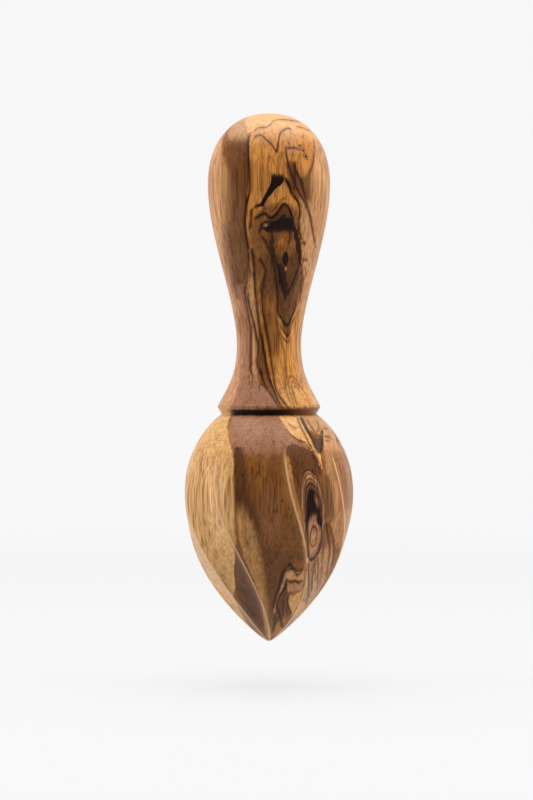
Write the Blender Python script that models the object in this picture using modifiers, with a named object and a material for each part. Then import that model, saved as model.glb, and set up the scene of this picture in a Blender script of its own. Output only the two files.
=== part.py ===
"""A hand citrus reamer, turned and carved from one blank of olive wood.

The blank is turned to one continuous outline: a domed knob, a waisted neck that flares to a collar lip, a
narrow groove under the lip, and a pear-shaped head that closes to a point. Shallow flutes are then carved
into the head. Each flute opens under the shoulder as a rounded arch, meets its neighbours in a ridge, and
twists about the axis on its way down to the point.

The object is one solid. +Z runs up the axis, the origin is the point of the head, and units are metres.
"""

import math

import bmesh
import bpy

# Lengths along the axis, from the point upwards
HEAD_LENGTH = 0.0647
HEAD_WIDEST_HEIGHT = 0.0400
CHAMFER_LENGTH = 0.0019
FLARE_LENGTH = 0.0176
TAPER_LENGTH = 0.0457
DOME_LENGTH = 0.0201

# Heights of the outline's stations, which follow from those lengths
GROOVE_HEIGHT = HEAD_LENGTH
LIP_HEIGHT = GROOVE_HEIGHT + CHAMFER_LENGTH
NECK_HEIGHT = LIP_HEIGHT + FLARE_LENGTH
KNOB_HEIGHT = NECK_HEIGHT + TAPER_LENGTH

# Radii at the stations
KNOB_RADIUS = 0.0174
NECK_RADIUS = 0.00915
LIP_RADIUS = 0.01465
GROOVE_DEPTH = 0.0012
GROOVE_RADIUS = LIP_RADIUS - GROOVE_DEPTH
HEAD_RADIUS = 0.0244

# How full the outline runs: the dome's superellipse power, and for each curve how far its ends pull it
# towards the other end, as shares of the way across and of the way along
DOME_POWER = 2.2
TAPER_PULL_BY_KNOB = (0.0, 0.333)
TAPER_PULL_BY_NECK = (0.0, 0.278)
FLARE_PULL_BY_NECK = (0.0, 0.530)
FLARE_PULL_BY_LIP = (0.40, 0.28)
SHOULDER_PULL_BY_GROOVE = (0.83, 0.278)
SHOULDER_PULL_BY_WIDEST = (0.0, 0.26)
OGIVE_PULL_BY_WIDEST = (0.0, 0.52)
OGIVE_PULL_BY_TIP = (0.14, 0.04)

# Small roundings
LIP_ROUNDING = 0.0005
GROOVE_ROUNDING = 0.0003
TIP_FLAT_RADIUS = 0.0006
TIP_RISE = 0.00014

# Flutes
FLUTE_COUNT = 8
SHOULDER_BAND = 0.0100
FLUTE_TOP = GROOVE_HEIGHT - SHOULDER_BAND
FLUTE_MERGE_DROP = 0.0170
FLUTE_HOLLOW = 0.10
FLUTE_START_ANGLE = math.radians(-77.6)
TWIST_PER_METRE = math.radians(1000.0)
TWIST_EASE_LENGTH = 0.0220
# A hand-carved ridge wanders this far from its even place; further ridges repeat the list
RIDGE_WANDER = tuple(math.radians(angle) for angle in (-1.0, -4.5, -1.5, 1.5, 4.5, 7.5, 1.5, -8.5))

# Fineness of the solid
COLUMNS_PER_FLUTE = 6
DOME_STEPS = 9
TAPER_STEPS = 10
FLARE_STEPS = 8
ROUNDING_STEPS = 2
SHOULDER_STEPS = 10
OGIVE_STEPS = 16
MERGE_DISTANCE = 1e-6

OBJECT_NAME = "citrus_reamer"
BODY_NAME = "reamer_body"
WOOD_COLOUR = (0.40, 0.20, 0.085, 1.0)
WOOD_ROUGHNESS = 0.42
SHARP_ANGLE = math.radians(24.0)


def bezier(start, start_pull, end_pull, end, steps):
    """Points along a cubic curve from start to end, without start itself."""
    points = []
    for step in range(1, steps + 1):
        t = step / steps
        weights = ((1 - t) ** 3, 3 * t * (1 - t) ** 2, 3 * t * t * (1 - t), t**3)
        controls = (start, start_pull, end_pull, end)
        points.append(tuple(sum(w * c[axis] for w, c in zip(weights, controls)) for axis in (0, 1)))
    return points


def rounded_corner(before, corner, after, rounding):
    """Points along a small curve that softens a corner, with its ends the rounding away from it."""
    ends = []
    for other in (before, after):
        distance = math.dist(corner, other)
        share = rounding / distance
        ends.append(tuple(c + (o - c) * share for c, o in zip(corner, other)))
    return [ends[0], *bezier(ends[0], corner, corner, ends[1], ROUNDING_STEPS)]


def pulled(start, end, shares):
    """The control point that pulls a curve's start towards its end, by shares of the way across and along."""
    return tuple(a + (b - a) * share for a, b, share in zip(start, end, shares))


def curve_between(start, end, start_shares, end_shares, steps):
    """Points along the curve from start to end, without start itself."""
    return bezier(start, pulled(start, end, start_shares), pulled(end, start, end_shares), end, steps)


def dome_points():
    """The crown, a quarter of a superellipse from the axis down to the widest line of the knob."""
    points = [(0.0, KNOB_HEIGHT + DOME_LENGTH)]
    for step in range(1, DOME_STEPS + 1):
        angle = math.pi / 2 * (1 - step / DOME_STEPS)
        across = math.cos(angle) ** (2 / DOME_POWER)
        up = abs(math.sin(angle)) ** (2 / DOME_POWER)
        points.append((KNOB_RADIUS * across, KNOB_HEIGHT + DOME_LENGTH * up))
    return points


def outline():
    """The turned outline as (radius, height), from the crown down the outer side to the point."""
    knob, neck = (KNOB_RADIUS, KNOB_HEIGHT), (NECK_RADIUS, NECK_HEIGHT)
    lip, groove = (LIP_RADIUS, LIP_HEIGHT), (GROOVE_RADIUS, GROOVE_HEIGHT)
    widest, tip = (HEAD_RADIUS, HEAD_WIDEST_HEIGHT), (TIP_FLAT_RADIUS, TIP_RISE)
    taper = curve_between(knob, neck, TAPER_PULL_BY_KNOB, TAPER_PULL_BY_NECK, TAPER_STEPS)
    flare = curve_between(neck, lip, FLARE_PULL_BY_NECK, FLARE_PULL_BY_LIP, FLARE_STEPS)[:-1]
    shoulder = curve_between(groove, widest, SHOULDER_PULL_BY_GROOVE, SHOULDER_PULL_BY_WIDEST, SHOULDER_STEPS)
    ogive = curve_between(widest, tip, OGIVE_PULL_BY_WIDEST, OGIVE_PULL_BY_TIP, OGIVE_STEPS)
    soft_lip = rounded_corner(flare[-1], lip, groove, LIP_ROUNDING)
    soft_groove = rounded_corner(lip, groove, shoulder[0], GROOVE_ROUNDING)
    return dome_points() + taper + flare + soft_lip + soft_groove + shoulder + ogive + [(0.0, 0.0)]


def turned_blank(name, points, columns):
    """A mesh turned from the outline by a Screw modifier about Z."""
    mesh = bpy.data.meshes.new(name)
    edges = [(index, index + 1) for index in range(len(points) - 1)]
    mesh.from_pydata([(radius, 0.0, height) for radius, height in points], edges, [])
    guide = bpy.data.objects.new(name + "_outline", mesh)
    bpy.context.scene.collection.objects.link(guide)
    screw = guide.modifiers.new("turn", "SCREW")
    screw.axis = "Z"
    screw.angle = 2 * math.pi
    screw.steps = columns
    screw.render_steps = columns
    screw.use_merge_vertices = True
    screw.merge_threshold = MERGE_DISTANCE
    evaluated = guide.evaluated_get(bpy.context.evaluated_depsgraph_get())
    turned = bpy.data.meshes.new_from_object(evaluated)
    bpy.data.objects.remove(guide)
    bpy.data.meshes.remove(mesh)
    turned.name = name
    return turned


def twist_at(height):
    """How far the ridges have turned at a height: none above the flutes, then easing into a steady pitch."""
    drop = max(0.0, FLUTE_TOP - height)
    if drop < TWIST_EASE_LENGTH:
        return TWIST_PER_METRE * drop * drop / (2 * TWIST_EASE_LENGTH)
    return TWIST_PER_METRE * (drop - TWIST_EASE_LENGTH / 2)


def ridge_angle(index):
    """The angle of a ridge where the flutes begin, with its hand-carved wander."""
    turn, place = divmod(index, FLUTE_COUNT)
    even = FLUTE_START_ANGLE + 2 * math.pi * place / FLUTE_COUNT
    return 2 * math.pi * turn + even + RIDGE_WANDER[place % len(RIDGE_WANDER)]


def hollow_at(height, across):
    """How much of the radius a flute takes away at a height. across runs from -1 to 1, ridge to ridge."""
    drop = (FLUTE_TOP - height) / FLUTE_TOP
    if drop <= 0:
        return 0.0
    middle = FLUTE_HOLLOW * drop
    merged = FLUTE_HOLLOW * FLUTE_MERGE_DROP / FLUTE_TOP
    return max(0.0, middle - max(middle, merged) * across * across)


def carve_flutes(mesh):
    """Turns each column of the blank to follow its ridge, and hollows the flutes between the ridges."""
    shape = bmesh.new()
    shape.from_mesh(mesh)
    for vert in shape.verts:
        radius = math.hypot(vert.co.x, vert.co.y)
        column = math.atan2(vert.co.y, vert.co.x) / (2 * math.pi) * FLUTE_COUNT % FLUTE_COUNT
        flute = math.floor(column)
        share = column - flute
        start, end = ridge_angle(flute), ridge_angle(flute + 1)
        angle = start + (end - start) * share + twist_at(vert.co.z)
        radius *= 1 - hollow_at(vert.co.z, 2 * share - 1)
        vert.co.x = radius * math.cos(angle)
        vert.co.y = radius * math.sin(angle)
    bmesh.ops.recalc_face_normals(shape, faces=shape.faces)
    shape.to_mesh(mesh)
    shape.free()


def olive_wood():
    """The plain finish of the solid: satin, oiled olive wood."""
    material = bpy.data.materials.new("olive_wood")
    material.use_nodes = True
    shader = material.node_tree.nodes["Principled BSDF"]
    shader.inputs["Base Color"].default_value = WOOD_COLOUR
    shader.inputs["Roughness"].default_value = WOOD_ROUGHNESS
    shader.inputs["Metallic"].default_value = 0.0
    material.diffuse_color = WOOD_COLOUR
    return material


def build_body(collection):
    """The whole reamer: the turned blank with its flutes carved."""
    mesh = turned_blank(BODY_NAME, outline(), FLUTE_COUNT * COLUMNS_PER_FLUTE)
    carve_flutes(mesh)
    mesh.materials.append(olive_wood())
    mesh.shade_smooth()
    mesh.set_sharp_from_angle(angle=SHARP_ANGLE)
    body = bpy.data.objects.new(BODY_NAME, mesh)
    collection.objects.link(body)
    return body


def main():
    for old in list(bpy.data.objects):
        bpy.data.objects.remove(old)
    collection = bpy.data.collections.new(OBJECT_NAME)
    bpy.context.scene.collection.children.link(collection)
    build_body(collection)


main()
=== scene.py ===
"""A hand citrus reamer, turned and carved from one blank of olive wood, upright in a plain white studio.

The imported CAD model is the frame. Its one node is replaced by a finer body of the same outline and flutes,
dressed in a solid olive wood: sapwood on one side, brown heartwood, a large knot in the handle, a smaller
one in the head, and the dark growth lines that wind round them. Lengths are metres, except on the drawing
of the figure, which is in millimetres.
"""

import bisect
import logging
import math
from dataclasses import dataclass, field
from enum import Enum

import bpy
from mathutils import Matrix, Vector


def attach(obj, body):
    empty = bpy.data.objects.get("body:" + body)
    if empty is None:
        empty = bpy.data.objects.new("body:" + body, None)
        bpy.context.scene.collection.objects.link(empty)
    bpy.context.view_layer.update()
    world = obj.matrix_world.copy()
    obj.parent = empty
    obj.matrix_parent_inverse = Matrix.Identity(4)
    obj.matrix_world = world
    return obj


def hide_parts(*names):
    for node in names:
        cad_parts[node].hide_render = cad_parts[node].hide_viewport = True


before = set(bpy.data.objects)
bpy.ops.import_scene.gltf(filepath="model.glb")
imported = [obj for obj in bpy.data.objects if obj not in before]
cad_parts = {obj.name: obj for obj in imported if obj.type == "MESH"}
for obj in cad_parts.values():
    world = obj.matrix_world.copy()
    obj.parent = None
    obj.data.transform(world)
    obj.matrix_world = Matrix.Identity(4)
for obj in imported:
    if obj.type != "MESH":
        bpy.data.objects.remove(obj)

LOG = logging.getLogger("citrus_reamer")
MILLIMETRE = 0.001
MILLIMETRES = 1000.0
# The reamer's whole height on the drawing of its figure, in millimetres
FULL_HEIGHT = 150.0
MERGE_DISTANCE = 2e-6
# Keeps a column that stands on a ridge from being counted in the flute before it
COLUMN_NUDGE = 1e-4

Pair = tuple[float, float]
Triple = tuple[float, float, float]
Colour = tuple[float, float, float, float]
Node, Socket, Tree = bpy.types.Node, bpy.types.NodeSocket, bpy.types.NodeTree


# ---------------------------------------------------------------- node trees


class Sheet:
    """A node tree while it is laid out."""

    def __init__(self, tree: Tree) -> None:
        """Starts on a tree.

        Args:
            tree: The tree that new nodes join.
        """
        self.tree = tree
        self.kind = "Shader" if tree.bl_idname == "ShaderNodeTree" else "Geometry"

    def add(self, kind: str, inputs: dict | None = None, **settings: object) -> Node:
        """Adds a node.

        Args:
            kind: The node's type, without ShaderNode or GeometryNode in front of it.
            inputs: Values or sockets for its inputs, by name or by number.
            **settings: Properties of the node, set before its inputs.

        Returns:
            The new node.
        """
        name = kind if kind.startswith(("Node", "ShaderNode", "Geometry")) else f"{self.kind}Node{kind}"
        node = self.tree.nodes.new(name)
        for key, value in settings.items():
            setattr(node, key, value)
        for key, value in (inputs or {}).items():
            self.feed(node.inputs[key], value)
        return node

    def feed(self, socket: Socket, value: object) -> None:
        """Links a socket into an input, or sets the input's own value.

        Args:
            socket: The input.
            value: A socket to link, a plain value, or None to leave the input alone.
        """
        if isinstance(value, Socket):
            self.tree.links.new(value, socket)
        elif value is not None:
            socket.default_value = value

    def math(self, operation: str, *values: object) -> Socket:
        """Adds one step of arithmetic and gives its result."""
        return self.add("ShaderNodeMath", dict(enumerate(values)), operation=operation).outputs[0]

    def times(self, *values: object) -> Socket:
        """The product of two values."""
        return self.math("MULTIPLY", *values)

    def plus(self, *values: object) -> Socket:
        """The sum of two values."""
        return self.math("ADD", *values)

    def minus(self, *values: object) -> Socket:
        """The first value less the second."""
        return self.math("SUBTRACT", *values)

    def over(self, *values: object) -> Socket:
        """The first value as a share of the second."""
        return self.math("DIVIDE", *values)

    def rest(self, value: object) -> Socket:
        """What a share leaves of one."""
        return self.math("SUBTRACT", 1.0, value)

    def smooth(self, value: object, low: object, high: object) -> Socket:
        """A smooth rise from 0 where the value is low to 1 where it is high.

        Args:
            value: The value that is read.
            low: Where the rise starts.
            high: Where it ends.

        Returns:
            The rise, from 0 to 1.
        """
        inputs = {"Value": value, "From Min": low, "From Max": high}
        settings = {"interpolation_type": "SMOOTHSTEP", "clamp": False}
        return self.add("ShaderNodeMapRange", inputs, **settings).outputs["Result"]

    def ramp(self, value: object, low: float, high: float, start: float, end: float) -> Socket:
        """A straight run from start where the value is low to end where it is high, and on beyond them."""
        inputs = {"Value": value, "From Min": low, "From Max": high, "To Min": start, "To Max": end}
        return self.add("ShaderNodeMapRange", inputs, clamp=False).outputs["Result"]

    def blend(self, share: object, under: object, over: object, way: str = "MIX") -> Socket:
        """One colour laid over another.

        Args:
            share: How much of it shows.
            under: The colour below.
            over: The colour laid over it.
            way: How the two are blended.

        Returns:
            The blended colour.
        """
        node = self.add("ShaderNodeMix", data_type="RGBA", blend_type=way)
        node.clamp_factor = True
        for index, value in ((0, share), (6, under), (7, over)):
            self.feed(node.inputs[index], value)
        return node.outputs[2]

    def length(self, x: object, y: object) -> Socket:
        """How far two parts reach together."""
        flat = self.vector(x, y, 0.0)
        return self.add("VectorMath", {0: flat}, operation="LENGTH").outputs["Value"]

    def vector(self, x: object = 0.0, y: object = 0.0, z: object = 0.0) -> Socket:
        """A vector made of three numbers."""
        return self.add("ShaderNodeCombineXYZ", {0: x, 1: y, 2: z}).outputs[0]

    def parts(self, vector: object) -> tuple[Socket, ...]:
        """The three numbers of a vector."""
        return tuple(self.add("ShaderNodeSeparateXYZ", {0: vector}).outputs)

    def readings(self, vector: object) -> tuple[Socket, ...]:
        """The three numbers of a vector, each read along its own axis.

        Args:
            vector: The vector.

        Returns:
            Its three numbers, from nodes that keep no other values waiting.
        """
        axes = ((1.0, 0.0, 0.0), (0.0, 1.0, 0.0), (0.0, 0.0, 1.0))
        reads = (self.add("VectorMath", {0: vector, 1: axis}, operation="DOT_PRODUCT") for axis in axes)
        return tuple(node.outputs["Value"] for node in reads)


def new_group(name: str, kind: str, inputs: dict, outputs: dict) -> tuple[Sheet, dict, dict]:
    """Starts a node group.

    Args:
        name: The group's name.
        kind: ShaderNodeTree or GeometryNodeTree.
        inputs: Each input's name and its default value, or its socket type where that says more.
        outputs: Each output's name and its socket type.

    Returns:
        The sheet, the inputs' sockets by name, and the outputs' sockets by name.
    """
    tree = bpy.data.node_groups.new(name, kind)
    plain = {int: "NodeSocketInt", float: "NodeSocketFloat", tuple: "NodeSocketVector"}
    for label, value in inputs.items():
        holds = plain.get(type(value), value)
        socket = tree.interface.new_socket(name=label, in_out="INPUT", socket_type=holds)
        if type(value) in plain:
            socket.default_value = value
    for label, value in outputs.items():
        tree.interface.new_socket(name=label, in_out="OUTPUT", socket_type=value)
    sheet = Sheet(tree)
    start, end = sheet.add("NodeGroupInput"), sheet.add("NodeGroupOutput")
    return sheet, {s.name: s for s in start.outputs if s.name}, {s.name: s for s in end.inputs if s.name}


# ---------------------------------------------------------------- shape


@dataclass(frozen=True)
class Outline:
    """The turned outline, from the point of the head to the crown of the knob."""

    head_length: float = 0.0647
    head_widest_height: float = 0.0400
    chamfer_length: float = 0.0019
    flare_length: float = 0.0176
    taper_length: float = 0.0457
    dome_length: float = 0.0201
    knob_radius: float = 0.0174
    neck_radius: float = 0.00915
    lip_radius: float = 0.01465
    groove_depth: float = 0.0012
    head_radius: float = 0.0244
    dome_power: float = 2.2
    taper_pulls: tuple[Pair, Pair] = ((0.0, 0.333), (0.0, 0.278))
    flare_pulls: tuple[Pair, Pair] = ((0.0, 0.530), (0.40, 0.28))
    shoulder_pulls: tuple[Pair, Pair] = ((0.83, 0.278), (0.0, 0.26))
    ogive_pulls: tuple[Pair, Pair] = ((0.0, 0.52), (0.14, 0.04))
    lip_rounding: float = 0.0005
    groove_rounding: float = 0.0003
    tip_flat_radius: float = 0.0006
    tip_rise: float = 0.00014
    fineness: float = 0.00052
    # How much longer a curve and the dome run than the straight line between their ends
    curve_length: float = 1.06
    dome_run: float = 1.5
    corner_steps: int = 5

    @staticmethod
    def curve(points: tuple[Pair, Pair, Pair, Pair], steps: int) -> list[Pair]:
        """Points along a cubic curve, without its start.

        Args:
            points: The four points that shape it.
            steps: How many points to make.

        Returns:
            Its points as radius and height.
        """
        found = []
        for step in range(1, steps + 1):
            t = step / steps
            weights = ((1 - t) ** 3, 3 * t * (1 - t) ** 2, 3 * t * t * (1 - t), t**3)
            found.append(tuple(sum(w * p[axis] for w, p in zip(weights, points)) for axis in (0, 1)))
        return found

    def between(self, start: Pair, end: Pair, pulls: tuple[Pair, Pair]) -> list[Pair]:
        """The curve from one station to the next, without its start.

        Args:
            start: Radius and height where it starts.
            end: Radius and height where it ends.
            pulls: How far each end pulls it towards the other, across and along.

        Returns:
            Its points, about one fineness apart.
        """
        near = tuple(a + (b - a) * share for a, b, share in zip(start, end, pulls[0]))
        far = tuple(b + (a - b) * share for a, b, share in zip(start, end, pulls[1]))
        length = self.curve_length * math.dist(start, end)
        return self.curve((start, near, far, end), round(length / self.fineness))

    def corner(self, before: Pair, corner: Pair, after: Pair, rounding: float) -> list[Pair]:
        """A small curve that softens a corner.

        Args:
            before: A point on the outline before the corner.
            corner: The corner.
            after: A point on the outline after it.
            rounding: How far from the corner the curve starts and ends.

        Returns:
            Its points, with its start.
        """
        ends = []
        for other in (before, after):
            share = rounding / math.dist(corner, other)
            ends.append(tuple(c + (o - c) * share for c, o in zip(corner, other)))
        return [ends[0], *self.curve((ends[0], corner, corner, ends[1]), self.corner_steps)]

    def points(self) -> list[Pair]:
        """The outline as radius and height, from the crown down the outer side to the point.

        Returns:
            Its points, about one fineness apart.
        """
        groove_height = self.head_length
        lip_height = groove_height + self.chamfer_length
        neck_height = lip_height + self.flare_length
        knob_height = neck_height + self.taper_length
        knob, neck = (self.knob_radius, knob_height), (self.neck_radius, neck_height)
        lip, groove = (self.lip_radius, lip_height), (self.lip_radius - self.groove_depth, groove_height)
        widest, tip = (self.head_radius, self.head_widest_height), (self.tip_flat_radius, self.tip_rise)
        dome = []
        steps = round(self.dome_run * self.dome_length / self.fineness)
        for step in range(steps + 1):
            angle = math.pi / 2 * (1 - step / steps)
            up = abs(math.sin(angle)) ** (2 / self.dome_power)
            across = abs(math.cos(angle)) ** (2 / self.dome_power) if step else 0.0
            dome.append((self.knob_radius * across, knob_height + self.dome_length * up))
        taper = self.between(knob, neck, self.taper_pulls)
        flare = self.between(neck, lip, self.flare_pulls)[:-1]
        shoulder = self.between(groove, widest, self.shoulder_pulls)
        ogive = self.between(widest, tip, self.ogive_pulls)
        soft_lip = self.corner(flare[-1], lip, groove, self.lip_rounding)
        soft_groove = self.corner(lip, groove, shoulder[0], self.groove_rounding)
        return [*dome, *taper, *flare, *soft_lip, *soft_groove, *shoulder, *ogive, (0.0, 0.0)]


@dataclass(frozen=True)
class Flutes:
    """The flutes carved into the head, and the ridges between them."""

    count: int = 8
    top: float = 0.0547
    merge_drop: float = 0.0170
    hollow: float = 0.10
    start_angle: float = math.radians(-77.6)
    twist: float = math.radians(1000.0)
    twist_ease: float = 0.0220
    wander: tuple[float, ...] = (-1.0, -4.5, -1.5, 1.5, 4.5, 7.5, 1.5, -8.5)
    crest_softness: float = 0.0035

    def ridge(self, index: int) -> float:
        """The angle of a ridge where the flutes begin.

        Args:
            index: The number of the ridge. Past the last, they go round again.

        Returns:
            Its angle in radians.
        """
        turn, place = divmod(index, self.count)
        even = self.start_angle + 2 * math.pi * place / self.count
        return 2 * math.pi * turn + even + math.radians(self.wander[place])

    def turned(self, height: float) -> float:
        """How far the ridges have turned at a height.

        Args:
            height: The height above the point of the head.

        Returns:
            The turn in radians.
        """
        drop = max(0.0, self.top - height)
        eased = min(drop, self.twist_ease)
        return self.twist * (eased * eased / (2 * self.twist_ease) + drop - eased)

    def depth(self, angle: float, height: float) -> float:
        """How much of the radius is carved away at an angle and a height.

        Args:
            angle: The angle round the axis.
            height: The height above the point of the head.

        Returns:
            The share of the radius, 0 where nothing is carved.
        """
        start = self.ridge(0)
        local = start + (angle - self.turned(height) - start) % (2 * math.pi)
        index = max(i for i in range(self.count) if self.ridge(i) <= local)
        share = (local - self.ridge(index)) / (self.ridge(index + 1) - self.ridge(index))
        middle = self.hollow * max(0.0, self.top - height) / self.top
        merged = self.hollow * self.merge_drop / self.top
        return max(0.0, middle - max(middle, merged) * (2 * share - 1) ** 2)


@dataclass(frozen=True)
class FlutedTurning:
    """The geometry tree that turns the outline round its axis and carves the flutes."""

    columns: int = 280
    ridge_gather: float = 0.55
    crest_attribute: str = "crest_distance"

    def inputs(self) -> dict:
        """The tree's named inputs, each with its default or its socket type."""
        return {
            "Outline": "NodeSocketGeometry",
            "Ridge Angles": "NodeSocketObject",
            "Columns": 96,
            "Rows": 100,
            "Flute Count": 8.0,
            "Flute Top": 0.05,
            "Merge Drop": 0.01,
            "Hollow": 0.1,
            "Twist": 10.0,
            "Twist Ease": 0.02,
            "Crest Softness": 0.004,
            "Ridge Gather": 0.5,
            "Finish": "NodeSocketMaterial",
        }

    def tree(self) -> Tree:
        """Lays out the tree.

        Returns:
            The finished geometry tree.
        """
        outputs = {"Body": "NodeSocketGeometry"}
        sheet, given, result = new_group("Fluted turning", "GeometryNodeTree", self.inputs(), outputs)
        rows = sheet.minus(given["Rows"], 1.0)
        sizes = {"Size X": 1.0, "Size Y": 1.0, "Vertices Y": given["Rows"]}
        sizes["Vertices X"] = sheet.plus(given["Columns"], 1.0)
        blank = sheet.add("MeshGrid", sizes).outputs["Mesh"]
        place = sheet.add("InputPosition").outputs[0]
        across, down, _ = sheet.parts(place)
        row = sheet.math("ROUND", sheet.times(sheet.plus(down, 0.5), rows))
        radius, _, height = sheet.parts(self.sample(sheet, given["Outline"], place, row))
        angle, share = self.angle(sheet, given, place, sheet.plus(across, 0.5))
        angle = sheet.plus(angle, self.turned(sheet, given, height))
        hollow = self.hollow(sheet, given, height, share)
        crest = self.crest(sheet, given, radius, share)
        radius = sheet.times(radius, sheet.rest(hollow))
        x = sheet.times(radius, sheet.math("COSINE", angle))
        y = sheet.times(radius, sheet.math("SINE", angle))
        stored = {"Geometry": blank, "Name": self.crest_attribute, "Value": crest}
        blank = sheet.add("StoreNamedAttribute", stored, data_type="FLOAT", domain="POINT").outputs[0]
        moved = {"Geometry": blank, "Position": sheet.vector(x, y, height)}
        body = sheet.add("SetPosition", moved).outputs[0]
        body = sheet.add("MergeByDistance", {"Geometry": body, "Distance": MERGE_DISTANCE}).outputs[0]
        body = sheet.add("SetShadeSmooth", {0: body}).outputs[0]
        body = sheet.add("RealizeInstances", {0: body}).outputs[0]
        body = sheet.add("SetMaterial", {"Geometry": body, "Material": given["Finish"]}).outputs[0]
        sheet.feed(result["Body"], body)
        return sheet.tree

    @staticmethod
    def sample(sheet: Sheet, geometry: object, value: object, index: object) -> Socket:
        """The place of one numbered point of a guide.

        Args:
            sheet: The sheet being laid out.
            geometry: The guide.
            value: The field that is read there.
            index: The point's number.

        Returns:
            The reading.
        """
        inputs = {"Geometry": geometry, "Index": index}
        node = sheet.add("SampleIndex", data_type="FLOAT_VECTOR", domain="POINT", clamp=True)
        for key, item in {**inputs, "Value": value}.items():
            sheet.feed(node.inputs[key], item)
        return node.outputs[0]

    def angle(self, sheet: Sheet, given: dict, place: object, turn: object) -> tuple:
        """The angle of each column where the flutes begin, and its share of the way across its flute.

        Args:
            sheet: The sheet being laid out.
            given: The tree's inputs.
            place: The position field.
            turn: How far round the blank the column is, from 0 to 1.

        Returns:
            The angle, and the share from 0 at one ridge to 1 at the next.
        """
        column = sheet.times(turn, given["Flute Count"])
        flute = sheet.math("FLOOR", sheet.plus(column, COLUMN_NUDGE))
        even = sheet.minus(column, flute)
        wave = sheet.math("SINE", sheet.times(even, 2 * math.pi))
        eased = sheet.times(wave, sheet.over(given["Ridge Gather"], 2 * math.pi))
        share = sheet.minus(even, eased)
        ridges = sheet.add("ObjectInfo", {"Object": given["Ridge Angles"]}).outputs["Geometry"]
        start = sheet.parts(self.sample(sheet, ridges, place, flute))[0]
        end = sheet.parts(self.sample(sheet, ridges, place, sheet.plus(flute, 1.0)))[0]
        reach = sheet.times(sheet.minus(end, start), share)
        return sheet.plus(start, reach), share

    @staticmethod
    def turned(sheet: Sheet, given: dict, height: object) -> Socket:
        """How far each point has turned with the ridges at its height.

        Args:
            sheet: The sheet being laid out.
            given: The tree's inputs.
            height: The height field.

        Returns:
            The turn in radians.
        """
        drop = sheet.math("MAXIMUM", sheet.minus(given["Flute Top"], height), 0.0)
        eased = sheet.math("MINIMUM", drop, given["Twist Ease"])
        start = sheet.over(sheet.times(eased, eased), given["Twist Ease"])
        run = sheet.plus(sheet.times(start, 0.5), sheet.minus(drop, eased))
        return sheet.times(run, given["Twist"])

    @staticmethod
    def hollow(sheet: Sheet, given: dict, height: object, share: object) -> Socket:
        """How much of the radius is carved away, with the ridges slightly rounded over.

        Args:
            sheet: The sheet being laid out.
            given: The tree's inputs.
            height: The height field.
            share: The way across the flute, from 0 to 1.

        Returns:
            The share of the radius.
        """
        drop = sheet.math("MAXIMUM", sheet.minus(given["Flute Top"], height), 0.0)
        fullest = sheet.over(given["Hollow"], given["Flute Top"])
        middle = sheet.times(fullest, drop)
        merged = sheet.times(fullest, given["Merge Drop"])
        across = sheet.minus(sheet.times(share, 2.0), 1.0)
        bank = sheet.math("MAXIMUM", middle, merged)
        bank = sheet.times(bank, sheet.math("POWER", across, 2.0))
        depth = sheet.math("MAXIMUM", sheet.minus(middle, bank), 0.0)
        soft = given["Crest Softness"]
        squares = sheet.plus(sheet.times(depth, depth), sheet.times(soft, soft))
        return sheet.minus(sheet.math("SQRT", squares), soft)

    @staticmethod
    def crest(sheet: Sheet, given: dict, radius: object, share: object) -> Socket:
        """How far round the skin each point is from the nearest ridge, in millimetres.

        Args:
            sheet: The sheet being laid out.
            given: The tree's inputs.
            radius: The radius of the uncarved outline.
            share: The way across the flute, from 0 to 1.

        Returns:
            The distance.
        """
        near = sheet.math("MINIMUM", share, sheet.rest(share))
        even = sheet.over(2 * MILLIMETRES * math.pi, given["Flute Count"])
        arc = sheet.times(radius, even)
        return sheet.times(sheet.math("ABSOLUTE", near), arc)


@dataclass(frozen=True)
class Body:
    """The whole reamer, one solid piece of wood."""

    name: str = "turned_body"
    outline: Outline = field(default_factory=Outline)
    flutes: Flutes = field(default_factory=Flutes)
    turning: FlutedTurning = field(default_factory=FlutedTurning)

    @staticmethod
    def guide(name: str, points: list[Triple]) -> bpy.types.Object:
        """A guide of loose points that the geometry tree reads.

        Args:
            name: The guide's name.
            points: Its points.

        Returns:
            The guide, an object in the scene.
        """
        mesh = bpy.data.meshes.new(name)
        mesh.from_pydata(points, [], [])
        made = bpy.data.objects.new(name, mesh)
        bpy.context.scene.collection.objects.link(made)
        return made

    def build(self, finish: bpy.types.Material) -> bpy.types.Object:
        """Turns and carves the body.

        Args:
            finish: The wood it is made of.

        Returns:
            The body as a plain mesh object at the origin.
        """
        points = self.outline.points()
        guide = self.guide("outline_guide", [(radius, 0.0, height) for radius, height in points])
        angles = [(self.flutes.ridge(index), 0.0, 0.0) for index in range(self.flutes.count + 2)]
        ridges = self.guide("ridge_guide", angles)
        tree = self.turning.tree()
        settings = {
            "Ridge Angles": ridges,
            "Columns": self.turning.columns,
            "Rows": len(points),
            "Flute Count": float(self.flutes.count),
            "Flute Top": self.flutes.top,
            "Merge Drop": self.flutes.merge_drop,
            "Hollow": self.flutes.hollow,
            "Twist": self.flutes.twist,
            "Twist Ease": self.flutes.twist_ease,
            "Crest Softness": self.flutes.crest_softness,
            "Ridge Gather": self.turning.ridge_gather,
            "Finish": finish,
        }
        modifier = guide.modifiers.new("turning", "NODES")
        modifier.node_group = tree
        for socket in tree.interface.items_tree:
            if socket.in_out == "INPUT" and socket.name in settings:
                modifier[socket.identifier] = settings[socket.name]
        evaluated = guide.evaluated_get(bpy.context.evaluated_depsgraph_get())
        mesh = bpy.data.meshes.new_from_object(evaluated)
        mesh.name = self.name
        for spare in (guide, ridges):
            shape = spare.data
            bpy.data.objects.remove(spare)
            bpy.data.meshes.remove(shape)
        made = bpy.data.objects.new(self.name, mesh)
        bpy.context.scene.collection.objects.link(made)
        return made


# ---------------------------------------------------------------- the figure of the wood


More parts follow.
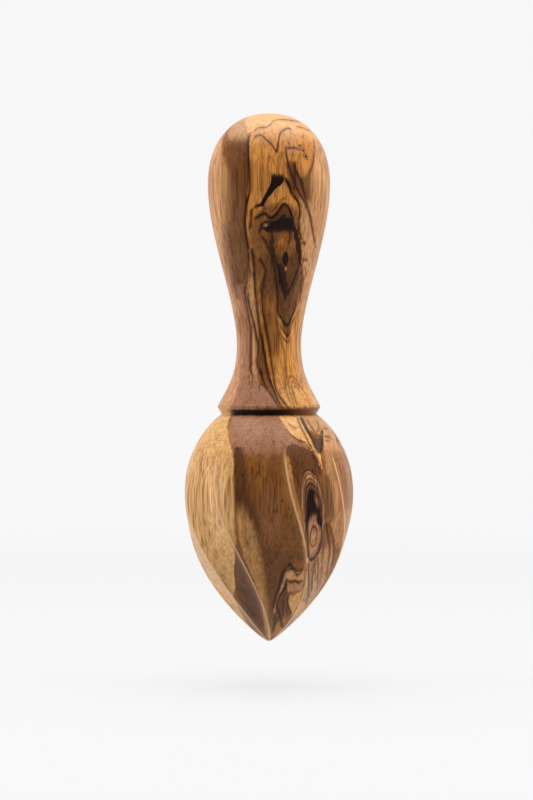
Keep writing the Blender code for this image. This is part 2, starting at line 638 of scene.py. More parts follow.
class Tone(Enum):
    """The colours of the wood, as red, green and blue from 0 to 255."""

    SAPWOOD = (190, 145, 92)
    PALE_TAN = (230, 188, 140)
    TAN = (178, 130, 86)
    PINK_TAN = (176, 127, 90)
    GOLD = (182, 121, 58)
    BRIGHT_GOLD = (204, 152, 92)
    AMBER = (128, 78, 32)
    MAUVE = (146, 100, 72)
    MOTTLED = (94, 55, 25)
    GREY_BROWN = (88, 54, 27)
    BROWN = (124, 76, 33)
    DARK_BROWN = (82, 48, 21)
    DUSK = (102, 64, 40)
    SLATE = (66, 53, 46)
    NEAR_BLACK = (26, 9, 3)
    INK = (24, 8, 3)

    def colour(self) -> Colour:
        """The tone as a linear colour, by the standard curve of screens and its straight foot."""
        bright = [((value / 255 + 0.055) / 1.055) ** 2.4 for value in self.value]
        dim = [value / 255 / 12.92 for value in self.value]
        return (*(b if value > 10 else d for b, d, value in zip(bright, dim, self.value)), 1.0)


class Run(Enum):
    """Which way a line mainly runs, and so which of its coordinates counts the steps along it."""

    UPRIGHT = 1
    LEVEL = 0


@dataclass(frozen=True)
class Drawing:
    """The figure's drawing: a flat sheet through the axis, seen from one place in front, in millimetres.

    A point of the drawing lands where the line of sight through it meets the wood.
    """

    outline: Outline
    flutes: Flutes
    eye: Triple = (-0.7, -618.0, 68.6)
    rounds: int = 24
    first_depth: float = -10.0
    # A point of the drawing past the edge of the wood lands where the wood is this share of its radius deep
    rim_share: float = 0.12

    def radius(self, angle: float, height: float) -> float:
        """The radius of the carved wood at an angle and a height.

        Args:
            angle: The angle round the axis.
            height: The height in millimetres.

        Returns:
            The radius in millimetres.
        """
        points = self.ordered()
        index = min(max(bisect.bisect(points, (height * MILLIMETRE, 1.0)), 1), len(points) - 1)
        (low, near), (high, far) = points[index - 1], points[index]
        share = min(max((height * MILLIMETRE - low) / max(high - low, 1e-9), 0.0), 1.0)
        plain = near + (far - near) * share
        return plain * (1 - self.flutes.depth(angle, height * MILLIMETRE)) / MILLIMETRE

    def ordered(self) -> list[Pair]:
        """The outline as height and radius, from the point upwards.

        Returns:
            Its points, sorted once and kept.
        """
        cached = self.__dict__.get("_ordered")
        if cached is None:
            cached = sorted((height, radius) for radius, height in self.outline.points())
            object.__setattr__(self, "_ordered", cached)
        return cached

    def landed(self, across: float, height: float) -> Pair:
        """Where a point of the drawing lands, as its turn from the front and its height.

        Args:
            across: Millimetres to the right of the axis on the drawing.
            height: Millimetres above the point of the head on the drawing.

        Returns:
            The turn in radians, rising to the right, and the height in millimetres.
        """
        eye_x, eye_y, eye_z = self.eye
        depth, x, z = self.first_depth, across, height
        for _ in range(self.rounds):
            share = (depth - eye_y) / -eye_y
            x, z = eye_x + (across - eye_x) * share, eye_z + (height - eye_z) * share
            radius = self.radius(math.atan2(depth, x), z)
            depth = -math.sqrt(max(radius * radius - x * x, (self.rim_share * radius) ** 2))
        return math.atan2(x, -depth), z


@dataclass(frozen=True)
class Vein:
    """A dark growth line, as points across, up and the line's width there, along its run."""

    run: Run
    points: tuple[Triple, ...]
    darkness: float = 1.0
    taper: float = 1.2


@dataclass(frozen=True)
class Patch:
    """A patch of one tone, as its left and right edges at each height, from its foot up."""

    tone: Tone
    rows: tuple[Triple, ...]
    soft: Pair = (0.5, 0.5)
    fade: Pair = (1.0, 1.0)
    strength: float = 1.0


@dataclass(frozen=True)
class Knot:
    """A knot, as rings round its centre: each one's share of the radii, its tone and its strength."""

    centre: Pair
    radii: Pair
    rings: tuple[tuple[float, Tone, float], ...]
    lean: float = 0.0


UP, LEVEL = Run.UPRIGHT, Run.LEVEL

PATCHES = (
    # handle, from the left round to the right
    Patch(Tone.TAN, ((64, -16, -3), (80, -12, -3), (112, -18, -4), (154, -18, -4)), (1, 2), (1, 3)),
    Patch(
        Tone.PINK_TAN, ((66, -11.5, -3), (84, -9.5, -4), (100, -12, -6), (118, -15, -6)), (2, 1), (0.5, 8),
    ),
    Patch(
        Tone.MOTTLED, ((96, -9.6, -6.8), (104, -11.4, -5.8), (112, -12.6, -5.8), (122, -12.6, -6.3),
        (134, -12.4, -5.5), (144, -10.8, -5.8)), (7, 0.2), (7, 5), 0.9,
    ),
    Patch(
        Tone.MAUVE, ((66, -11, 3.2), (69, -9.8, 1), (72, -9, -1), (73.8, -8.5, -3), (76, -8, -4.8),
        (88, -7.6, -5.1), (98, -8.6, -6.8), (102, -9.5, -6.6)), (1.4, 0.15), (0.3, 3),
    ),
    Patch(
        Tone.GOLD, ((66.5, 3.3, 12), (72, 1.2, 9.5), (80, -0.6, 8.5), (92, -3, 8), (104, -4.5, 9),
        (112, -5.6, 10), (119, -6.8, 9), (125, -6.4, 9.5), (134, -5.6, 6), (140, -5.7, 4.8), (144, -5.8, 5),
        (154, -6, 5)), (0.2, 0.4), (0.5, 0.1),
    ),
    Patch(
        Tone.BRIGHT_GOLD, ((66.4, 3.8, 13), (72, 1.8, 12), (80, 4, 9), (90, 6.3, 9.6), (100, 9, 11.5),
        (112, 9.3, 13.5)), (1.2, 1.5), (0.5, 3), 0.15,
    ),
    Patch(
        Tone.AMBER, ((80, 0.4, 3), (90, -1.1, 2.6), (98, -2, 2.4), (105, -1.2, 1.8), (111, -3, 0.4)), (0.8,
        0.8), (5, 3), 0.8,
    ),
    Patch(
        Tone.GREY_BROWN, ((86, 4.9, 5.6), (92, 3.4, 6.6), (99, 2.6, 8.6), (106, 2.6, 8.6), (112, 1, 9)),
        (0.4, 0.4), (1, 1), 0.9,
    ),
    Patch(
        Tone.GREY_BROWN, ((117, 11.8, 13.2), (124, 10.9, 13), (130, 8.6, 12), (134, 7.2, 11.2),
        (137.8, 7, 8.4)), (0.3, 2.4), (6, 0.8), 0.75,
    ),
    Patch(
        Tone.GOLD, ((131, 8, 9.6), (136, 5.4, 12), (142, 4.7, 13), (154, 2, 13)), (0.4, 1.6), (4, 0.1), 0.8,
    ),
    Patch(Tone.PINK_TAN, ((138.5, 4.9, 8.4), (141, 4.6, 8), (143, 4.8, 7)), (0.4, 1), (1, 1), 0.6),
    Patch(
        Tone.DARK_BROWN, ((96, -2.4, 5), (104, -3.6, 8.4), (112, -5.2, 9.4), (121, -4, 8.4), (125, 1.5, 6)),
        (1.6, 1.4), (7, 2), 0.65,
    ),
    Patch(Tone.TAN, ((66.5, 12.5, 16), (112, 11.6, 18), (130, 12, 19), (146, 11, 19)), (2.4, 1), (2, 3)),
    Patch(
        Tone.BROWN, ((103, 11, 14.5), (112, 11.2, 17), (122, 10.8, 16), (132, 11.5, 16)), (1.5, 1.5), (5,
        5), 0.25,
    ),
    Patch(
        Tone.TAN, ((103, 9.4, 13), (112, 9.6, 14.5), (118, 8.8, 13.2), (126, 9, 12)), (0.5, 0.8), (3, 3),
        0.85,
    ),
    Patch(
        Tone.GREY_BROWN, ((125, 8, 9.2), (130, 6, 9), (134, 5, 8.2), (137, 4.8, 6.6)), (0.2, 1.8), (2, 1.6),
        0.85,
    ),
    # painted highlight: a pale cap on the crown standing for the overhead light's sheen, over wood a little
    # paler there
    Patch(Tone.PALE_TAN, ((141, -11, 13), (146, -11, 12.5), (154, -9, 12)), (1.5, 1.5), (5, 0.1), 0.3),
    # the knot in the handle
    Patch(
        Tone.NEAR_BLACK, ((123.6, -3.4, -1.6), (125.1, -2.2, -0.8), (126.8, -1.2, 0.4), (128.7, -0.3, 1.9),
        (130.1, 0.4, 3.6), (131.5, 0.6, 4.3), (133.4, 0.6, 4.2)), (0.3, 0.2), (0.4, 1.6),
    ),
    Patch(
        Tone.DARK_BROWN, ((117.4, 0.6, 7.9), (119.2, 0.2, 7.4), (120.8, 0.9, 6.8), (122.6, 2.8, 6),
        (124.2, 4.2, 4.7)), (0.3, 0.2), (0.3, 0.1), 0.92,
    ),
    Patch(
        Tone.BROWN, ((109, 0.6, 6.2), (112, 0.4, 7), (116, 1.2, 7.2), (117.6, 2, 7)), (0.4, 0.3), (2, 0.5),
        0.85,
    ),
    Patch(
        Tone.BROWN, ((113.8, -0.8, 0.6), (115.6, -2, 0.6), (117, -2.4, 0.6)), (0.2, 0.2), (0.6, 0.3), 0.85,
    ),
    Patch(
        Tone.NEAR_BLACK, ((115.6, 1.2, 6.6), (117.4, -1.6, 7.2), (118.6, -0.4, 7.2), (119.6, 2.2, 6.9),
        (121, 4, 6.2)), (0.9, 0.4), (1.8, 1.2),
    ),
    Patch(
        Tone.NEAR_BLACK, ((106.4, 8.4, 8.9), (109, 8.3, 9.3), (112, 7.7, 9.1), (115, 7.2, 8.6),
        (118, 6.7, 7.9)), (0.3, 0.2), (1, 0.6), 0.95,
    ),
    Patch(
        Tone.NEAR_BLACK, ((97, 4.5, 4.9), (100, 3.8, 5.3), (103, 2.9, 5), (106, 2.4, 4.2), (108, 2, 3)),
        (0.4, 0.4), (1, 2), 0.8,
    ),
    # shoulder and head
    Patch(
        Tone.SAPWOOD, ((0, -6, -4), (12, -16, -10), (30, -26, -9.4), (52, -26, -10), (58, -24, -11.4),
        (64.4, -16, -10.6), (67, -16, -11.2)), (1, 0.8), (1, 1),
    ),
    # painted highlight: a paler strip right of the left ridge, where that bank faces the light
    Patch(Tone.PALE_TAN, ((26, -15, -10.5), (38, -17, -11.5), (50, -17.5, -12)), (2.5, 2), (6, 5), 0.3),
    Patch(
        Tone.MAUVE, ((52, -9.8, 12.5), (56, -10.6, 10.5), (58.8, -11.5, 6.6), (61.5, -11, 4),
        (64, -10.2, 2.6)), (0.25, 0.25), (3.6, 0.1), 0.88,
    ),
    Patch(
        Tone.BRIGHT_GOLD, ((49, 14.8, 15.2), (53, 12.6, 14.6), (56.5, 10, 12.6), (58.5, 6.8, 11.4),
        (61, 4.2, 10.2), (64, 2.6, 8.6)), (0.15, 0.2), (0.6, 0.1),
    ),
    Patch(
        Tone.TAN, ((54, 15.4, 19), (58, 15.2, 19), (61, 9.9, 19), (64.2, 8.4, 15)), (0.2, 0.8), (1.5, 0.1),
        0.9,
    ),
    Patch(
        Tone.SLATE, ((53.4, 14.1, 14.6), (55.4, 13.2, 15.1), (57, 12.4, 15.1), (58.6, 11.2, 12.2),
        (61, 9.8, 10.9), (63.8, 8.4, 9.4)), (0.2, 0.3), (0.2, 0.3), 0.85,
    ),
    Patch(
        Tone.SLATE, ((56.6, 14.2, 15.1), (58.6, 14.4, 15.2), (60.4, 14.9, 15.4)), (0.3, 0.2), (0.3, 0.5),
        0.7,
    ),
    Patch(
        Tone.DARK_BROWN, ((34, -9.2, -5.4), (46, -9.6, -6), (51, -9.9, -6.6), (55.4, -9.8, -7.6)), (0.4, 3),
        (9, 0.8), 1,
    ),
    Patch(Tone.DARK_BROWN, ((24, -4, -1), (34, -6.8, -3), (42, -7.6, -4.8)), (1.2, 1.8), (8, 4), 0.75),
    Patch(
        Tone.DARK_BROWN, ((2, -0.4, 1.6), (10, -1, 4.6), (20, -2, 6), (27, -2, 8.4)), (1.6, 1), (3, 4), 0.5,
    ),
    Patch(
        Tone.BRIGHT_GOLD, ((3, -2, -0.6), (10, -3.4, -0.8), (18, -5.4, -1.4), (26, -7.6, -2.8),
        (34, -9.2, -5), (40, -9.6, -8)), (0.8, 2.4), (2, 9), 0.55,
    ),
    Patch(Tone.BRIGHT_GOLD, ((66.4, 5, 14), (70, 4.8, 12.5), (74, 4.8, 11)), (0.8, 1), (0.3, 3), 0.6),
    Patch(
        Tone.DUSK, ((3, -3.4, -1), (10, -8, -2), (18, -9.8, -4.6), (24, -9.7, -7.4), (27.6, -9.8, -9)),
        (0.4, 0.3), (1, 1.2), 1,
    ),
    Patch(
        Tone.DARK_BROWN, ((6, -5, -2), (14, -7.4, -3.4), (22, -8.8, -6.4), (25, -9.3, -8.2)), (1.2, 0.8),
        (2, 1.5), 0.45,
    ),
    Patch(Tone.MAUVE, ((26, -1.5, 3), (38, -2, 3), (46, -2.5, 1)), (2.5, 2.5), (6, 6), 0.25),
    Patch(Tone.DARK_BROWN, ((44, 0.4, 3.6), (50, -0.2, 3.8), (54, 0.6, 3.8)), (1.2, 0.6), (5, 1.5), 0.5),
    Patch(
        Tone.DARK_BROWN, ((46, 6.6, 15), (50, 5.6, 14.2), (54, 5, 12.2), (56.2, 5.4, 7)), (0.3, 0.3), (3,
        0.3), 0.85,
    ),
    Patch(
        Tone.DARK_BROWN, ((22, 7.4, 10), (34, 8.4, 10.8), (46, 6.6, 10), (52, 5.8, 8)), (0.6, 0.8), (3, 4),
        0.5,
    ),
    Patch(
        Tone.TAN, ((26, 19, 24), (34, 17.6, 26), (44, 16.8, 26), (52, 15.8, 24), (57, 15.6, 21)), (1.2, 1),
        (4, 1.5), 0.6,
    ),
    Patch(Tone.TAN, ((8, 9.5, 11), (20, 10.6, 17), (28, 11, 18)), (0.3, 1), (2, 4), 0.7),
    Patch(
        Tone.BROWN, ((36, 19.6, 26), (44, 19.4, 26), (50, 18, 24), (54, 17.4, 21)), (0.5, 1), (4, 2), 0.6,
    ),
    Patch(Tone.GREY_BROWN, ((34, 15.6, 18.6), (42, 15.8, 18), (48, 15.4, 17)), (0.4, 0.8), (3, 2), 0.7),
    Patch(
        Tone.BRIGHT_GOLD, ((7.2, 6.3, 6.7), (9, 5.9, 7.4), (11, 5.4, 8.6), (12.5, 5.5, 9.1),
        (13.4, 6.4, 9.3), (14.6, 9, 9.7)), (0.2, 0.2), (0.6, 0.3), 0.95,
    ),
    Patch(Tone.TAN, ((14, 5.3, 9.5), (16, 5.2, 9.7), (17.2, 5.2, 9.8)), (0.2, 0.2), (0.4, 0.3), 0.85),
    Patch(Tone.PINK_TAN, ((14.8, 5.2, 6.8), (16.2, 5.2, 6.2)), (0.2, 0.8), (0.4, 0.4), 0.9),
    Patch(
        Tone.PINK_TAN, ((7.8, 1.3, 1.7), (9.5, 1.5, 2), (11, 1.9, 2.3), (12.8, 2.4, 2.9), (14.4, 3.1, 3.7),
        (16, 3.6, 4.5), (17.5, 4, 4.8), (19.8, 4.8, 5.1)), (0.2, 0.2), (0.4, 0.6), 0.9,
    ),
    Patch(
        Tone.GOLD, ((5.6, 6.6, 7.6), (8, 7.4, 9.6), (10, 8.5, 10.1), (11.6, 9.2, 9.8)), (0.3, 0.4), (0.6,
        1), 0.8,
    ),
    Patch(
        Tone.PINK_TAN, ((0.8, -0.6, 0.6), (2.4, -1.2, 0.6), (4.6, -1.4, 0.4)), (0.6, 0.6), (0.4, 1.6), 0.6,
    ),
    Patch(Tone.GOLD, ((1.6, 1.2, 2.6), (4, 1.8, 3.9), (6.4, 3.2, 5)), (0.4, 0.5), (0.6, 1.6), 0.55),
    Patch(
        Tone.BRIGHT_GOLD, ((17.2, 5.1, 9.9), (18.6, 5, 9.9), (19.6, 5.2, 9.9), (20.4, 6, 7)), (0.2, 0.2),
        (0.3, 0.3), 0.9,
    ),
    Patch(
        Tone.GOLD, ((12, 10, 10.4), (18, 10.2, 10.8), (24.5, 10, 10.8), (30.2, 9.1, 10.3), (35.9, 7.9, 9.3),
        (40.4, 6.6, 8.1), (46.1, 5.5, 6.9), (52.9, 4.6, 5.5)), (0.4, 0.4), (1, 1.5), 0.75,
    ),
    Patch(Tone.MAUVE, ((13, 11.4, 12), (17, 11.5, 12.3), (22, 11.4, 12.8)), (0.4, 0.4), (1.5, 1), 0.8),
)

KNOTS = (
    # pin knots
    Knot(
        (9.4, 140.3), (0.95, 1.25), ((0, Tone.MAUVE, 0.9), (0.35, Tone.TAN, 0.9), (0.55, Tone.INK, 0.95),
        (0.75, Tone.INK, 0.8), (1, Tone.TAN, 0)), 0.4,
    ),
    Knot(
        (10.5, 137.9), (0.9, 1.2), ((0, Tone.INK, 1), (0.35, Tone.INK, 0.95), (0.5, Tone.TAN, 0.8),
        (0.65, Tone.INK, 0.9), (0.8, Tone.DARK_BROWN, 0.7), (1, Tone.TAN, 0)), 0.2,
    ),
    Knot((-7.5, 47.1), (0.6, 0.7), ((0, Tone.NEAR_BLACK, 0.9), (1, Tone.DARK_BROWN, 0))),
    Knot((3.8, 39.9), (0.6, 0.6), ((0, Tone.NEAR_BLACK, 0.9), (1, Tone.DARK_BROWN, 0))),
    Knot((5.6, 37.7), (0.6, 0.7), ((0, Tone.NEAR_BLACK, 0.9), (1, Tone.DARK_BROWN, 0))),
    Knot((1.5, 37), (0.8, 0.6), ((0, Tone.DARK_BROWN, 0.8), (1, Tone.DARK_BROWN, 0))),
    # the hole beside the handle's knot with a painted glint at its foot, and the bright fibres beside the
    # knot
    Knot((4.7, 108.7), (1, 2.4), ((0, Tone.INK, 1), (0.75, Tone.INK, 1), (1, Tone.DARK_BROWN, 0)), 0.05),
    # painted highlight: a pale glint of light at the foot of the hole
    Knot(
        (4.8, 106), (0.5, 0.9), ((0, Tone.PALE_TAN, 0.8), (0.5, Tone.MAUVE, 0.8), (1, Tone.DARK_BROWN, 0)),
    ),
    Knot(
        (3.4, 113.6), (2.6, 3.4), ((0, Tone.GOLD, 0.9), (0.4, Tone.AMBER, 0.9), (0.75, Tone.AMBER, 0.5),
        (1, Tone.BROWN, 0)), -0.25,
    ),
    Knot(
        (-1.2, 118.4), (1.4, 0.8), ((0, Tone.MAUVE, 0.9), (0.55, Tone.MAUVE, 0.8), (0.75, Tone.INK, 0.9),
        (1, Tone.INK, 0)),
    ),
    # the knot in the head, its foot last
    Knot(
        (12.7, 36.6), (4.3, 12.2), ((0, Tone.NEAR_BLACK, 1), (0.50, Tone.NEAR_BLACK, 1),
        (0.60, Tone.DUSK, 1), (0.66, Tone.NEAR_BLACK, 0.9), (0.72, Tone.MAUVE, 1),
        (0.76, Tone.DARK_BROWN, 1), (0.82, Tone.TAN, 1), (0.87, Tone.DUSK, 1), (0.92, Tone.MAUVE, 0.9),
        (0.95, Tone.NEAR_BLACK, 0.9), (1, Tone.DARK_BROWN, 0)), 0.12,
    ),
    Knot(
        (12.7, 29.8), (3.3, 7.4), ((0, Tone.PINK_TAN, 0.95), (0.3, Tone.PINK_TAN, 0.9),
        (0.38, Tone.DUSK, 0.45), (0.48, Tone.PINK_TAN, 0.9), (0.72, Tone.MAUVE, 0.95),
        (0.82, Tone.DUSK, 0.8), (0.92, Tone.NEAR_BLACK, 0.85), (1, Tone.NEAR_BLACK, 0)), 0.1,
    ),
    Knot((14.4, 34.2), (1.3, 2), ((0, Tone.INK, 1), (0.6, Tone.INK, 1), (1, Tone.INK, 0)), 0.35),
    Knot((12, 37.6), (1.7, 1.6), ((0, Tone.INK, 1), (0.6, Tone.INK, 0.9), (1, Tone.INK, 0)), -0.3),
    Knot(
        (13.6, 39.8), (1, 2.6), ((0, Tone.MAUVE, 0.9), (0.5, Tone.DUSK, 0.8), (1, Tone.DARK_BROWN, 0)), 0.3,
    ),
    Knot((11.2, 35.8), (0.8, 1.8), ((0, Tone.INK, 1), (0.6, Tone.INK, 0.9), (1, Tone.INK, 0)), -0.2),
)

VEINS = (
    # crown
    Vein(
        LEVEL, ((-4.9, 143, 0.25), (-4.5, 144.6, 0.25), (-3.6, 145.6, 0.25), (-2.4, 146.2, 0.25),
        (-1, 146.2, 0.2), (0.3, 147, 0.2), (1.2, 148, 0.2), (3.5, 148.4, 0.2), (7, 148.1, 0.2),
        (9, 147.6, 0.15)), 0.75,
    ),
    Vein(
        LEVEL, ((-5, 141, 0.3), (-4.3, 143, 0.3), (-3.4, 143.9, 0.3), (-2.4, 144, 0.3), (-1.4, 143.4, 0.3),
        (0, 142, 0.35), (1.2, 140.8, 0.5), (2.1, 139.6, 0.9), (2.6, 141, 0.8), (2.9, 143.3, 0.4),
        (3.3, 144.7, 0.35), (4.3, 145.5, 0.35), (5.3, 145.9, 0.3), (6.5, 145.5, 0.3), (7.5, 144.4, 0.3),
        (8.2, 142.8, 0.3), (8.5, 140.6, 0.3)), 0.8,
    ),
    Vein(
        LEVEL, ((7.5, 146.4, 0.2), (9, 146.3, 0.2), (10.5, 145.6, 0.25), (12, 144.9, 0.2),
        (12.9, 143.9, 0.2)), 0.7,
    ),
    Vein(
        UP, ((11.4, 132.8, 0.2), (12.2, 135, 0.3), (12.7, 138, 0.3), (12.9, 141, 0.3), (12.5, 143.3, 0.25)),
        0.7,
    ),
    Vein(UP, ((9.8, 142.6, 0.15), (9.6, 143.8, 0.2), (9.9, 144.6, 0.15)), 0.5),
    Vein(
        LEVEL, ((4.6, 140.9, 0.3), (5.4, 140.3, 0.35), (6.6, 140.4, 0.35), (7.6, 140.3, 0.35),
        (8.6, 139.7, 0.4), (9.1, 139.9, 0.3)), 0.8,
    ),
    # the long lines down both sides of the knot
    Vein(
        UP, ((-5.7, 111, 0.6), (-6.1, 113.6, 0.6), (-6.6, 116.2, 0.55), (-6.8, 118.8, 0.6),
        (-6.6, 122, 0.6), (-6.2, 125.4, 0.7), (-5.6, 127.6, 0.5), (-5.5, 130, 0.5), (-5.6, 134, 0.45),
        (-5.8, 138, 0.4), (-5.9, 141, 0.35), (-5.7, 143.4, 0.25), (-5.2, 145, 0.2)), 1,
    ),
    Vein(UP, ((-5, 127, 1), (-4.9, 130, 1.2), (-4.9, 134, 1), (-5.2, 138, 0.6)), 0.4, 2.5),
    Vein(
        UP, ((-5.6, 116.6, 0.4), (-5.3, 118.4, 0.6), (-5, 120.8, 0.6), (-4.9, 122.6, 0.6),
        (-4.1, 123.6, 0.7)), 1,
    ),
    Vein(LEVEL, ((-4.7, 123.2, 0.5), (-4, 123.7, 0.6), (-3.2, 123.8, 0.7), (-2.2, 124, 0.8)), 1),
    Vein(
        UP, ((13.4, 111.6, 0.3), (12.6, 115.6, 0.4), (12.1, 118.6, 0.4), (11.4, 121.6, 0.5),
        (10.6, 123.8, 0.5), (9.7, 125.8, 0.45), (8.6, 127.6, 0.4), (7.7, 129.4, 0.35), (7, 131.4, 0.35),
        (6.2, 133.6, 0.35), (5.5, 135.8, 0.3), (5, 138.2, 0.3), (4.7, 140.6, 0.3)), 0.85,
    ),
    Vein(
        UP, ((13, 113.6, 0.3), (12.5, 117, 0.4), (12, 120.2, 0.5), (11.2, 123, 0.5), (10.3, 125.8, 0.6),
        (9.8, 128.4, 0.6), (9.2, 130.8, 0.6), (8.2, 132.8, 0.7), (7.4, 135, 0.6), (7.6, 137, 0.5)), 0.75, 2,
    ),
    # the black peak and its legs
    Vein(
        UP, ((8.4, 119.4, 0.45), (8.7, 121.4, 0.5), (8.8, 123.4, 0.55), (8.3, 125, 0.6), (7.4, 126.2, 0.75),
        (6.6, 127.4, 0.8), (5.9, 129.2, 0.9), (5.1, 131, 1), (4.3, 132.4, 0.8)), 1,
    ),
    Vein(UP, ((9.6, 113.8, 0.4), (8.9, 115.4, 0.4), (8.5, 117.4, 0.4), (8.4, 119.6, 0.4)), 0.9),
    Vein(LEVEL, ((9.2, 114.3, 0.3), (9.8, 113.4, 0.5), (10.4, 113.3, 0.5), (10.9, 114.4, 0.3)), 0.8),
    # the second peak
    Vein(
        LEVEL, ((-4.4, 119.8, 0.3), (-3.6, 120.5, 0.45), (-2.7, 120.9, 0.5), (-1.9, 121.6, 0.55),
        (-1.1, 121.6, 0.55), (-0.3, 120.9, 0.55), (0.4, 120.5, 0.6), (1.1, 120.6, 0.65), (2, 121.5, 0.65),
        (2.9, 122.7, 0.65), (3.8, 123.9, 0.6), (4.5, 124.4, 0.5), (5.2, 123.9, 0.5), (6, 122.4, 0.6),
        (6.8, 120.3, 0.7), (7.4, 118.2, 0.7)), 1,
    ),
    Vein(
        LEVEL, ((0.6, 122, 0.3), (1.6, 123, 0.35), (2.6, 124.3, 0.35), (3.6, 125.5, 0.4), (4.4, 126, 0.4),
        (5.4, 125.2, 0.3)), 0.5,
    ),
    Vein(
        LEVEL, ((-3.2, 115.8, 0.5), (-2.7, 117.1, 0.5), (-2, 118.2, 0.4), (-1, 119.4, 0.4),
        (0.4, 119.3, 0.45), (1.6, 119, 0.5), (2.8, 119.8, 0.5), (4.2, 121, 0.5), (5.2, 121, 0.4)), 0.95,
    ),
    Vein(LEVEL, ((-2.6, 117, 0.5), (-1.6, 117.4, 0.5), (-0.2, 117.1, 0.6), (0.9, 117.2, 0.8)), 1),
    Vein(UP, ((0.2, 112, 0.5), (0.9, 113.6, 0.8), (0.9, 115.6, 0.5), (0.5, 117.2, 0.4)), 0.95),
    # inside the knot
    Vein(UP, ((4, 98.9, 0.4), (3.1, 104.6, 0.5), (1.2, 109.8, 0.55), (0.2, 114.4, 0.5)), 0.95),
    Vein(UP, ((5, 98, 0.4), (6.9, 102.3, 0.5), (8.6, 106.6, 0.5)), 0.9),
    Vein(UP, ((5.4, 112.6, 0.35), (6, 114.8, 0.45), (5.6, 117.2, 0.4)), 0.7),
    # the neck
    Vein(
        UP, ((2.9, 66.4, 0.3), (1.9, 68, 0.3), (1, 69.4, 0.3), (0.2, 70.6, 0.3), (-0.6, 71.5, 0.3),
        (-1.4, 72.6, 0.3), (-2.4, 73.6, 0.3)), 0.7,
    ),
    Vein(
        UP, ((-4.2, 74.5, 0.4), (-5.1, 77, 0.5), (-5.35, 80, 0.5), (-5.25, 84, 0.5), (-5.2, 88, 0.45),
        (-5.7, 92, 0.4), (-6.4, 96, 0.4), (-6.9, 99.4, 0.4), (-7.2, 101, 0.3)), 0.7, 2,
    ),
    Vein(UP, ((-5.6, 102.8, 0.3), (-5.4, 104.4, 0.3), (-5.6, 107, 0.4), (-5.7, 111.4, 0.5)), 0.8),
    Vein(
        UP, ((3.9, 66.3, 0.3), (3.2, 67.5, 0.35), (2.3, 69.3, 0.4), (1.5, 71.2, 0.5), (0.8, 72.8, 0.5),
        (0.1, 74.7, 0.5), (-0.4, 76.4, 0.5), (-0.8, 78.6, 0.5), (-1.2, 81.4, 0.5), (-1.7, 84.4, 0.5),
        (-2.3, 87.4, 0.5), (-2.9, 91, 0.45), (-3.4, 94.6, 0.45), (-3.8, 98.4, 0.4), (-4, 102, 0.5),
        (-4.2, 104.6, 0.8), (-4.1, 106, 0.5), (-4.4, 108.2, 0.6), (-4.9, 112, 0.6)), 1,
    ),
    Vein(
        UP, ((-0.4, 71.3, 0.3), (-1.3, 73.2, 0.35), (-2, 75, 0.45), (-2.4, 76.6, 0.8), (-3.1, 78.4, 0.8),
        (-3.3, 80, 0.55), (-3.15, 82, 0.6), (-3.1, 84, 0.6), (-3.5, 86.4, 0.6), (-4, 88.6, 0.55),
        (-4.5, 91, 0.5), (-5, 93, 0.45), (-5.6, 95.2, 0.35), (-6, 97.6, 0.35), (-5.9, 99.2, 0.5)), 0.9,
    ),
    Vein(
        UP, ((5.4, 66.4, 0.4), (4.2, 68, 0.5), (3, 69.6, 0.5), (2.1, 71.4, 0.5), (1.6, 73.4, 0.5),
        (1.2, 76, 0.5), (0.8, 79, 0.5), (0.4, 82, 0.6), (-0.1, 85, 0.7), (-0.7, 88.2, 0.7),
        (-1.3, 91.4, 0.6), (-1.8, 94.6, 0.45), (-2, 98, 0.4), (-1.8, 101.6, 0.4), (-1.2, 103.8, 0.4),
        (-1, 105.4, 0.4), (-1.5, 107, 0.4), (-2.2, 107.9, 0.7), (-2.6, 109.4, 0.4)), 0.85,
    ),
    Vein(
        UP, ((3.9, 91.2, 0.6), (3, 92.6, 0.7), (2.5, 94.4, 0.6), (2.5, 97, 0.45), (2.3, 100.6, 0.5),
        (1.9, 104, 0.45), (1.4, 107, 0.5), (0.6, 110, 0.5), (-0.6, 113, 0.5), (-2.4, 115.4, 0.5)), 0.95,
    ),
    Vein(UP, ((3.9, 99.8, 0.7), (3, 103, 0.8), (2.2, 106.4, 0.6), (1.5, 110, 0.6), (0.9, 113, 0.6)), 0.9),
    Vein(
        LEVEL, ((3.2, 92.4, 0.5), (4, 91, 0.7), (5, 90, 0.7), (6, 91, 0.6), (7, 93.4, 0.5), (8, 96, 0.5),
        (8.8, 98.8, 0.4)), 0.95,
    ),
    Vein(
        LEVEL, ((2.9, 90.6, 0.35), (3.7, 88.9, 0.4), (4.5, 87.7, 0.45), (5.2, 87.1, 0.5), (6, 88, 0.4),
        (6.6, 90.4, 0.35), (7.8, 92.8, 0.3)), 0.8,
    ),
    Vein(
        LEVEL, ((2.8, 88.8, 0.3), (3.7, 86.8, 0.35), (4.6, 85.6, 0.4), (5.3, 85.2, 0.45), (6, 86.2, 0.35),
        (6.5, 88.4, 0.3)), 0.7,
    ),
    Vein(UP, ((9, 98.4, 0.3), (9.2, 101.6, 0.35), (9, 105, 0.35), (8.6, 108.6, 0.4)), 0.8),
    Vein(
        UP, ((8.4, 96.4, 0.3), (9.3, 99.4, 0.3), (9.7, 102.6, 0.3), (9.5, 105.6, 0.3), (9.3, 108, 0.3)),
        0.65,
    ),
    Vein(LEVEL, ((9.2, 109.2, 0.3), (9.9, 108.3, 0.4), (10.6, 108.6, 0.35), (11.2, 107.8, 0.3)), 0.8),
    Vein(UP, ((10.6, 103, 0.2), (10.5, 105, 0.25), (9.8, 107.4, 0.25)), 0.6),
    Vein(
        UP, ((7.3, 66.4, 0.2), (5.8, 68.8, 0.25), (4.9, 71.4, 0.3), (4.8, 75, 0.3), (4.8, 79, 0.3),
        (4.4, 82, 0.3), (3.6, 85, 0.3), (2.8, 88.4, 0.3), (2.3, 91.4, 0.3)), 0.55,
    ),
    Vein(
